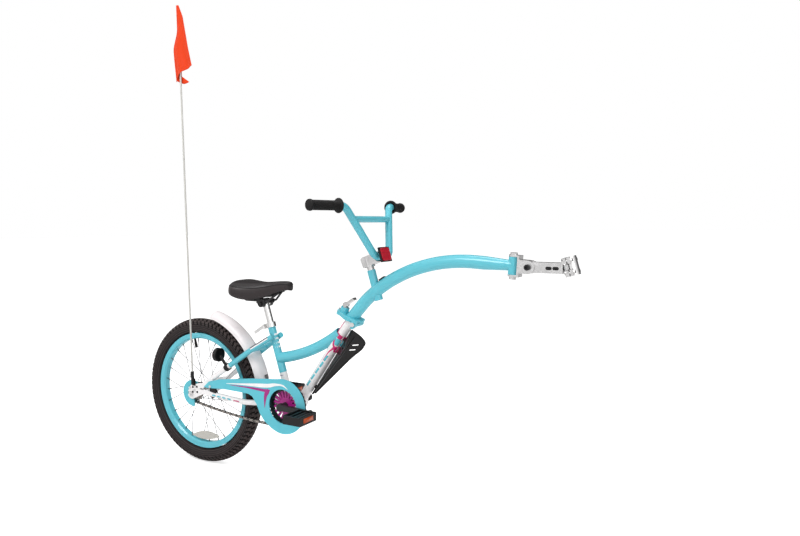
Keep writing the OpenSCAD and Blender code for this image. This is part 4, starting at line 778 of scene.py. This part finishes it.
def pole_x(drop):
    """The x of the leaning pole's line, at a distance below the flag's top."""
    return FLAG_TOP[0] + drop * math.sin(math.radians(POLE_LEAN))


def flag_edges(v):
    """The front layer's fold and free edge at v down, in mm ahead of the pole's line."""
    left = mix(-3, -23, smooth(min(1.0, max(0.0, (v - 0.3) / 0.28))))
    if v > 0.58:
        left = mix(-23, -15.6, (v - 0.58) / 0.42)
    return left, 4 + 10 * min(1.0, 6 * v) + 50 * v ** 0.85


def flag_point(u, v):
    """A point of the front layer, u across from its fold and v down, on the leaning pole's line."""
    left, right = flag_edges(v)
    drop = FLAG_LENGTH * v - v ** 3 * (10 + 46 * u ** 0.45)
    fold = 7 * v * (1 - math.cos(math.radians(u * 540))) / 2
    ripple = 0.5 * v * math.sin(9 * u + 7 * v) + 0.3 * v * math.sin(16 * v - 5 * u)
    return (pole_x(drop) + left + (right - left) * u, FLAG_TOP[1] - drop, FLAG_FACE - fold + ripple)


def tail_point(w, t):
    """A point of the corner that is folded back behind the pole, w across and t down."""
    drop = mix(175, 250, t)
    left, _ = flag_edges(drop / FLAG_LENGTH)
    if t < 0.55:
        right, foot = mix(0, 2, t / 0.55), mix(175, 236, t / 0.55)
    else:
        right, foot = mix(2, 35.5, (t - 0.55) / 0.45), mix(236, 257, (t - 0.55) / 0.45)
    down = mix(drop, foot, w) + 8 * math.sin(math.pi * w) * t ** 3
    y = mix(FLAG_FACE, -62.0, smooth(min(1.0, 4 * w)))
    return (pole_x(down) + mix(left, right, w), FLAG_TOP[1] - down, y + 1.5 * t * math.sin(6 * w))


def give_thickness(cloth):
    thick = cloth.modifiers.new("Nylon thickness", "SOLIDIFY")
    thick.thickness = 0.0006
    thick.offset = 0.0


def make_flag():
    """The flag hangs from its sleeve: its folds are drawn, and a short simulation settles them."""
    rows, cols = 60, 34
    grid = []
    for r in range(rows + 1):
        for k in range(cols + 1):
            grid.append(at(*flag_point(k / cols, mix(0.01, 1.0, r / rows))))
    faces = grid_faces(rows + 1, cols + 1)
    cloth = new_piece("Safety_flag", (grid, faces), "flag_cloth", "rear_frame", stands_for=("flag",))
    drop_cloth(cloth, cols + 1)
    give_thickness(cloth)
    mesh = cloth.data
    hem = flag_hem([v.co.copy() for v in mesh.vertices], rows, cols)
    back = [at(*tail_point(k / 16, r / 20)) for r in range(21) for k in range(17)]
    tail = new_piece("Flag_folded_corner", (back, grid_faces(21, 17)), "flag_cloth", "rear_frame")
    give_thickness(tail)


def drop_cloth(cloth, cols):
    """Lets the cloth settle for a few frames, held fast at its sleeve and top and loosely elsewhere."""
    pins = cloth.vertex_groups.new(name="Sleeve")
    for i in range(len(cloth.data.vertices)):
        weight = 1.0 if i % cols < 3 or i // cols < 4 else 0.35
        pins.add([i], weight, "REPLACE")
    settle = cloth.modifiers.new("Settle", "CLOTH")
    settle.settings.quality = 6
    settle.settings.mass = 0.12
    settle.settings.tension_stiffness = 40
    settle.settings.compression_stiffness = 40
    settle.settings.bending_stiffness = 0.6
    settle.settings.vertex_group_mass = "Sleeve"
    settle.settings.effector_weights.gravity = 0.12
    settle.point_cache.frame_start = 1
    settle.point_cache.frame_end = 12
    for step in range(1, 13):
        bpy.context.scene.frame_set(step)
    seen = cloth.evaluated_get(bpy.context.evaluated_depsgraph_get())
    settled = [v.co.copy() for v in seen.data.vertices]
    cloth.modifiers.remove(settle)
    for vertex, place in zip(cloth.data.vertices, settled):
        vertex.co = place
    bpy.context.scene.frame_set(1)


def flag_hem(points, rows, cols):
    """Turned hems along the flag's fold and both free edges, with a line of stitches."""
    def p(r, k):
        return points[r * (cols + 1) + k]
    right = [p(r, cols) for r in range(rows + 1)]
    foot = [p(rows, k) for k in range(cols + 1)]
    lots = [tube(right, 0.0007, 6), tube(foot, 0.0007, 6), tube([p(r, 0) for r in range(rows + 1)], 0.0009, 6)]
    inner = [p(r, cols - 3) + Vector((0, -0.0005, 0)) for r in range(2, rows - 1)]
    for i in range(0, len(inner) - 1, 2):
        lots.append(tube([inner[i], inner[i + 1]], 0.0003, 5))
    return new_piece("Flag_hems", join(*lots), "flag_cloth", "rear_frame")


SIDES = (("near", -1), ("far", 1))


def on_stay(x):
    """A point of the chain stay's middle line in the side layout."""
    return x, 268 - (x - 55) * 0.0977


def make_decals():
    """Printed films: generic stripes where the photograph has lettering."""
    guard = flat_face(GUARD_FACE)
    film("Guard_swoosh", curve_points([(163.9, 311), (228.6, 316.2), (284.2, 320.2), (338.5, 324.2), (374.0, 331.5),
                                       (404, 332), (423, 321.3)], 12), [1.0, 4.6, 9, 13, 12, 7, 5, 1.0],
         guard, "decal_white")
    film("Guard_stripe", curve_points([(179.1, 307.8), (265.6, 309), (332, 307.6), (352.4, 311.2)], 12),
         [1.0, 4.4, 8.4, 10.5, 1.5], guard, "decal_magenta", lift=0.2)
    film("Guard_hook", curve_points([(346, 311.5), (335, 296), (330.4, 276), (329.2, 250.9)], 12),
         [11, 17, 13, 9.6, 5.5, 1.0], guard, "decal_magenta", lift=0.3)
    for tag, side in SIDES:
        skin = on_rod(*DOWN_TUBE_ENDS, 15.9, side)
        line = curve_points([(609, 546.5), (590, 525.0), (573, 497), (567.5, 474), (567.5, 461.1), (549, 446),
                             (526, 417)], 10)
        film("Down_tube_line_" + tag, line, [2, 5, 6.4, 7, 6, 4, 0.8], skin, "decal_pink", side=side)
        film("Down_tube_band_" + tag, straight((577.7, 508.0), (604.7, 484.8), 12), [15, 15], skin, "decal_pink",
             side=side, lift=0.2)
        film("Down_tube_patch_" + tag, straight((571, 485), (596, 472), 12), [22, 26], skin, "decal_teal",
             side=side, lift=0.12)
        film("Down_tube_patch_foot_" + tag, straight((566, 455.4), (590, 448.0), 12), [20, 26, 20], skin,
             "decal_pink", side=side, lift=0.2)
        # Teal bars stand where the photograph has lettering
        line = straight((464, 331), (545, 434.5), 24)
        for i in range(5):
            film("Down_tube_bar_%d_%s" % (i, tag), line[5 * i:5 * i + 5], [7, 7], skin, "decal_teal", side=side)
        seat_skin = on_rod(*SEAT_TUBE_ENDS, 12.7, side)
        film("Seat_tube_ring_" + tag, straight((338.7, 343.7), (369.4, 353.0), 8)[1:-1], [3.2, 3.2], seat_skin,
             "decal_grey", side=side)
        for i in range(4):
            x, h = mix(327.5, 339.5, i / 3), mix(482.0, 442.0, i / 3)
            film("Seat_tube_mark_%d_%s" % (i, tag), [(x - 5, h - 1.6), (x, h), (x + 5, h + 1.6)], [5.4, 5.4, 5.4],
                 seat_skin, "decal_white", side=side)
    for tag, side in SIDES:
        stay = on_rod((*STAY_BEND, 42 * side), (*STAY_HEAD, 21.3 * side), 9.0, side)
        ux, uh = STAY_HEAD[0] - STAY_BEND[0], STAY_HEAD[1] - STAY_BEND[1]
        run = math.hypot(ux, uh)
        for i, off in enumerate((5.6, 1.6)):
            line = [(STAY_BEND[0] + ux * k / 20 - uh / run * off, STAY_BEND[1] + uh * k / 20 + ux / run * off)
                    for k in range(1, 18)]
            film("Stay_pinstripe_%d_%s" % (i, tag), line, [4.0, 4.6], stay,
                 "decal_dark" if i == 0 else "decal_white", side=side, lift=0.8)
    # Teal dashes and a pink bar stand for the print on the chain stays
    for tag, side in SIDES:
        rear = on_rod((55.0, 268.0, 59 * side), (229.0, 251.0, 43 * side), 9.5, side)
        for i in range(4):
            start = 100 + 21 * i
            film("Chain_stay_dash_%d_%s" % (i, tag), [on_stay(x) for x in (start, start + 7, start + 14)],
                 [4.4, 5.0, 4.4], rear, "decal_teal", side=side, lift=0.5)
        film("Chain_stay_bar_" + tag, [on_stay(x) for x in (188, 200, 212)], [2.6, 3.4, 2.6], rear, "decal_pink",
             side=side, lift=0.5)
    dots = []
    for x, h in ((6.0, 279.6), (25.2, 282.0), (5.5, 262.3), (26.5, 263.9)):
        dots.append(lathe([(0.0001, 0.0012), (0.0031, 0.0012), (0.0038, 0.0006), (0.0038, -0.0006),
                           (0.0001, -0.0006)], at(x, h, -60.2), Vector((0, -1, 0)), 24))
    new_piece("Dropout_plugs", join(*dots), "black_plastic", "rear_frame")


def rib_box(centre, half):
    """A box with chamfered edges, drawn from the middle out."""
    work = bmesh.new()
    bmesh.ops.create_cube(work, size=1.0)
    for v in work.verts:
        v.co = Vector((v.co.x * 2 * half[0], v.co.y * 2 * half[1], v.co.z * 2 * half[2]))
    bmesh.ops.bevel(work, geom=list(work.edges), offset=min(half) * 0.5, segments=2, affect="EDGES")
    work.verts.ensure_lookup_table()
    verts = [centre + v.co for v in work.verts]
    faces = [tuple(v.index for v in f.verts) for f in work.faces]
    work.free()
    return verts, faces


def make_pedals():
    """Amber lenses front and rear, and rows of teeth, on both pedals."""
    for tag, body, (px, ph), s in (("right", "near_pedal", NEAR_PEDAL, -1), ("left", "far_pedal", FAR_PEDAL, 1)):
        mid = at(px, ph, s * PEDAL_Y)
        lenses = [rib_box(mid + Vector((x * 0.0330, 0, 0)), (0.0007, 0.0242, 0.0070)) for x in (-1, 1)]
        new_piece("Pedal_lenses_" + tag, join(*lenses), "amber_lens", body)
        ribs = []
        for x in (-0.0295, 0.0295):
            for i in range(9):
                for z in (-1, 1):
                    ribs.append(rib_box(mid + Vector((x, (i - 4) * 0.0088, z * 0.0134)), (0.0030, 0.0018, 0.0012)))
        new_piece("Pedal_teeth_" + tag, join(*ribs), "black_plastic", body)


def wing(x, w, side, rise=0.0):
    """A point of the splash guard's wing: x along it, w out from its middle and rise off its face, in mm."""
    direction, front, top = (0.5707, 0.8211), (0.8211, -0.5707), (601.8, 521.3)
    out = 20 + w * math.sin(math.radians(WING_ANGLE)) + rise
    return at(top[0] + out * front[0] + x * direction[0], top[1] + out * front[1] + x * direction[1],
              side * w * math.cos(math.radians(WING_ANGLE)))


def make_guard_rim():
    """The splash guard's rolled rim along the free edge of both wings, and a crease down each wing."""
    edge = curve_points([(10, 2), (2, 26), (-6, 46), (-20, 67), (-34, 70), (-50, 68), (-90, 52), (-170, 30),
                         (-249, 8)], 10)
    lots = []
    for side in (-1, 1):
        lots.append(tube([wing(x, w, side) for x, w in edge], 0.0031, 10))
        crease = [wing(mix(-8, -236, i / 23), mix(22, 5, i / 23), side, 1.6) for i in range(24)]
        lots.append(tube(crease, 0.0018, 8))
    new_piece("Splash_guard_rim", join(*lots), "black_plastic", "rear_frame")


def make_hitch_slot_shade():
    """A dark plate inside the hitch bar, which its slots show: painted shade for the bar's hollow inside."""
    # The dark plate is painted shade inside the hollow bar
    slot_shade = plate([(1234, 725), (1271, 725), (1271, 738), (1234, 738)], -2.5, 2.5)
    new_piece("Hitch_bar_painted_slot_shade", slot_shade, "dark_steel", "hitch", smooth=False)


def make_front_lens():
    """The front reflector's lens, with rounded corners and a chamfered rim."""
    outline = []
    for cy, cz, turn in ((16, 12, 0), (-16, 12, 90), (-16, -12, 180), (16, -12, 270)):
        for k in range(7):
            g = math.radians(turn + 15 * k)
            outline.append((cy + 9 * math.cos(g), cz + 7.4 * math.sin(g)))
    verts, n = [], len(outline)
    lean = math.radians(17)
    for x, shrink in ((24.6, 1.0), (29.4, 1.0), (30.4, 0.95), (30.4, 0.4)):
        for y, z in outline:
            z = z * shrink
            verts.append(at(BAR_CLAMP[0] + x * math.cos(lean) - z * math.sin(lean),
                            BAR_CLAMP[1] + x * math.sin(lean) + z * math.cos(lean), -26 + y * shrink))
    faces = grid_faces(4, n, False, True) + [tuple(range(n)), tuple(range(4 * n - 1, 3 * n - 1, -1))]
    new_piece("Front_lens", (verts, faces), "red_lens", "bars", smooth=False, stands_for=("bar_reflector_lens",))


def make_weld(points, radius, body, finish, name):
    """A weld bead: a closed rope of small overlapping ripples."""
    radii = [radius * (1 + 0.12 * math.sin(2 * math.pi * i * 0.45)) for i in range(len(points))]
    new_piece(name, tube(points, radii, 8, True), finish, body)


def ring_on_rod(centre, axis, radius, tilt, n=72):
    """Points round a tube in a plane that is tilted along the tube's axis."""
    axis = axis.normalized()
    u = Vector((axis.z, 0, -axis.x))
    v = Vector((0, 1, 0))
    return [centre + radius * (math.cos(2 * math.pi * i / n) * u + math.sin(2 * math.pi * i / n) * v)
            + axis * radius * tilt * math.cos(2 * math.pi * i / n) for i in range(n)]


def make_welds():
    """Beads round the feet of the seat tube and the down tube, at the bottom bracket."""
    sizes = bpy.context.scene.bike_sizes
    seat_axis = Vector((-math.sin(math.radians(17.5)), 0, math.cos(math.radians(17.5))))
    make_weld(ring_on_rod(at(386, 264) + seat_axis * 0.0292, seat_axis, 0.0130, 0.3), sizes.weld, "rear_frame",
              "white_paint", "Weld_seat_tube_foot")
    down_axis = along(55.2)
    make_weld(ring_on_rod(at(423, 264) + down_axis * 0.0135, down_axis, 0.0158, -0.5), sizes.weld, "rear_frame",
              "white_paint", "Weld_down_tube_foot")


def make_stage():
    """Camera, pale floor and soft studio light."""
    floor = bpy.data.meshes.new("Floor")
    verts = [(-30, -12, FLOOR), (30, -12, FLOOR), (30, 60, FLOOR), (-30, 60, FLOOR)]
    floor.from_pydata(verts, [], [(0, 1, 2, 3)])
    ground = bpy.data.objects.new("Floor", floor)
    bpy.context.scene.collection.objects.link(ground)
    # The paper stays white to the camera away from the lamps, and keeps the bike's shadow
    material, tree, shader = new_material("Pale_paper_floor", linear("#ffffff"), Roughness=0.9,
                                          Emission_Color=(1.0, 1.0, 1.0, 1.0))
    glance = add_node(tree, "ShaderNodeLightPath")
    glow = add_node(tree, "ShaderNodeMath", {0: glance.outputs["Is Camera Ray"], 1: 0.6}, operation="MULTIPLY")
    tree.links.new(glow.outputs[0], shader.inputs["Emission Strength"])
    grain = add_node(tree, "ShaderNodeTexNoise", {"Scale": 3.0})
    tone = add_node(tree, "ShaderNodeMix", {"Factor": grain.outputs["Fac"], "A": (0.92, 0.92, 0.92, 1.0),
                                            "B": (0.95, 0.95, 0.95, 1.0)}, data_type="RGBA")
    tree.links.new(tone.outputs[2], shader.inputs["Base Color"])
    floor.materials.append(material)
    world = bpy.data.worlds.new("Studio")
    bpy.context.scene.world = world
    world.use_nodes = True
    sky = world.node_tree
    back = sky.nodes["Background"]
    back.inputs["Color"].default_value = (1, 1, 1, 1)
    rays = add_node(sky, "ShaderNodeLightPath")
    # The camera sees a white backdrop; the object is lit by a darker room
    seen = add_node(sky, "ShaderNodeMath", {0: rays.outputs["Is Camera Ray"], 1: rays.outputs["Is Transmission Ray"]},
                    operation="MAXIMUM")
    level = add_node(sky, "ShaderNodeMapRange", {"Value": seen.outputs[0], "To Min": 0.55, "To Max": 1.0})
    # Metals and gloss mirror a bright room in front and a dark wall behind, which outlines them
    place = add_node(sky, "ShaderNodeTexCoord")
    parts = add_node(sky, "ShaderNodeSeparateXYZ", {0: place.outputs["Generated"]})
    wall = add_node(sky, "ShaderNodeMapRange", {"Value": parts.outputs["Y"], "From Min": 0.1, "From Max": 0.5,
                                                "To Min": 1.15, "To Max": 0.12})
    choice = add_node(sky, "ShaderNodeMix", {0: rays.outputs["Is Glossy Ray"], 2: level.outputs["Result"],
                                             3: wall.outputs["Result"]}, data_type="FLOAT")
    sky.links.new(choice.outputs[0], back.inputs["Strength"])
    lamps = [("Key", (-1.4, -3.0, 3.0), 1.8, 88.0), ("Fill", (3.2, -2.4, 1.0), 2.0, 22.0),
             ("Top", (-0.5, 0.9, 3.4), 2.4, 50.0)]
    for name, place, size, power in lamps:
        data = bpy.data.lights.new(name, "AREA")
        data.energy, data.size, data.shape = power, size, "DISK"
        lamp = bpy.data.objects.new(name, data)
        bpy.context.scene.collection.objects.link(lamp)
        lamp.location = place
        lamp.rotation_euler = (Vector(LAMPS_AIM) - Vector(place)).to_track_quat("-Z", "Y").to_euler()
    data = bpy.data.cameras.new("Camera")
    data.lens, data.sensor_width = CAMERA_LENS, 36.0
    eye = bpy.data.objects.new("Camera", data)
    bpy.context.scene.collection.objects.link(eye)
    eye.location = CAMERA_PLACE
    eye.rotation_euler = [math.radians(angle) for angle in CAMERA_TURN]
    bpy.context.scene.camera = eye
    bpy.context.scene.view_settings.view_transform = "Standard"


# Operators -------------------------------------------------------------------------------------


class BIKE_OT_stage(bpy.types.Operator):
    """Set the camera, the pale floor and the studio light"""
    bl_idname = "bike.stage"
    bl_label = "Stage"

    def execute(self, context):
        make_stage()
        if context.scene.camera is None:
            raise RuntimeError("the stage has no camera")
        return {"FINISHED"}


class BIKE_OT_paint(bpy.types.Operator):
    """Give every node of the frame its material"""
    bl_idname = "bike.paint"
    bl_label = "Paint and plating"

    def execute(self, context):
        paint_all()
        bare = [name for name, node in NODES.items() if not node.data.materials]
        if bare:
            raise RuntimeError("nodes without a material: " + ", ".join(bare))
        return {"FINISHED"}


class BIKE_OT_tyre(bpy.types.Operator):
    """Build the tyre with its tread and sidewall lines"""
    bl_idname = "bike.tyre"
    bl_label = "Tyre"

    def execute(self, context):
        make_tyre()
        return {"FINISHED"}


class BIKE_OT_chain(bpy.types.Operator):
    """Build the roller chain link by link"""
    bl_idname = "bike.chain"
    bl_label = "Chain"

    def execute(self, context):
        make_chain()
        return {"FINISHED"}


class BIKE_OT_saddle(bpy.types.Operator):
    """Build the saddle's cushion, piping and stitching"""
    bl_idname = "bike.saddle"
    bl_label = "Saddle"

    def execute(self, context):
        make_saddle()
        return {"FINISHED"}


class BIKE_OT_grips(bpy.types.Operator):
    """Build both ribbed grips"""
    bl_idname = "bike.grips"
    bl_label = "Grips"

    def execute(self, context):
        make_grips()
        return {"FINISHED"}


class BIKE_OT_flag(bpy.types.Operator):
    """Hang the safety flag and sew its hems"""
    bl_idname = "bike.flag"
    bl_label = "Safety flag"

    def execute(self, context):
        make_flag()
        return {"FINISHED"}


class BIKE_OT_pedals(bpy.types.Operator):
    """Add the pedals' teeth and amber lenses"""
    bl_idname = "bike.pedals"
    bl_label = "Pedals"

    def execute(self, context):
        make_pedals()
        return {"FINISHED"}


class BIKE_OT_trim(bpy.types.Operator):
    """Build the splash guard's rim, the dark plate of painted shade inside the hitch bar and the front reflector's
    lens
    """
    bl_idname = "bike.trim"
    bl_label = "Guard rim, hitch slot shade and front lens"

    def execute(self, context):
        make_guard_rim()
        # The hitch bar's dark inner plate is painted shade
        make_hitch_slot_shade()
        make_front_lens()
        return {"FINISHED"}


class BIKE_OT_decals(bpy.types.Operator):
    """Lay the printed stripes on the guard and the tubes"""
    bl_idname = "bike.decals"
    bl_label = "Decals"

    def execute(self, context):
        make_decals()
        return {"FINISHED"}


class BIKE_OT_welds(bpy.types.Operator):
    """Run weld beads round the feet of the seat tube and the down tube"""
    bl_idname = "bike.welds"
    bl_label = "Welds"

    def execute(self, context):
        make_welds()
        return {"FINISHED"}


class BIKE_PT_panel(bpy.types.Panel):
    """The trailer bike's pieces"""
    bl_label = "Trailer bike"
    bl_idname = "BIKE_PT_panel"
    bl_space_type = "VIEW_3D"
    bl_region_type = "UI"
    bl_category = "Trailer bike"

    def draw(self, context):
        for group in (context.scene.bike_colours, context.scene.bike_sizes):
            for name in group.__annotations__:
                self.layout.prop(group, name)
        for kind in OPERATORS:
            self.layout.operator(kind.bl_idname)


OPERATORS = (BIKE_OT_stage, BIKE_OT_paint, BIKE_OT_tyre, BIKE_OT_chain, BIKE_OT_saddle, BIKE_OT_grips, BIKE_OT_flag,
             BIKE_OT_pedals, BIKE_OT_trim, BIKE_OT_decals, BIKE_OT_welds)
CLASSES = (BikeColours, BikeSizes) + OPERATORS + (BIKE_PT_panel,)


def register():
    for kind in CLASSES:
        bpy.utils.register_class(kind)
    bpy.types.Scene.bike_colours = bpy.props.PointerProperty(type=BikeColours, name="Colours")
    bpy.types.Scene.bike_sizes = bpy.props.PointerProperty(type=BikeSizes, name="Sizes")


def unregister():
    del bpy.types.Scene.bike_sizes
    del bpy.types.Scene.bike_colours
    for kind in reversed(CLASSES):
        bpy.utils.unregister_class(kind)


def main():
    register()
    for kind in OPERATORS:
        family, piece = kind.bl_idname.split(".")
        getattr(getattr(bpy.ops, family), piece)()


if __name__ == "__main__":
    main()
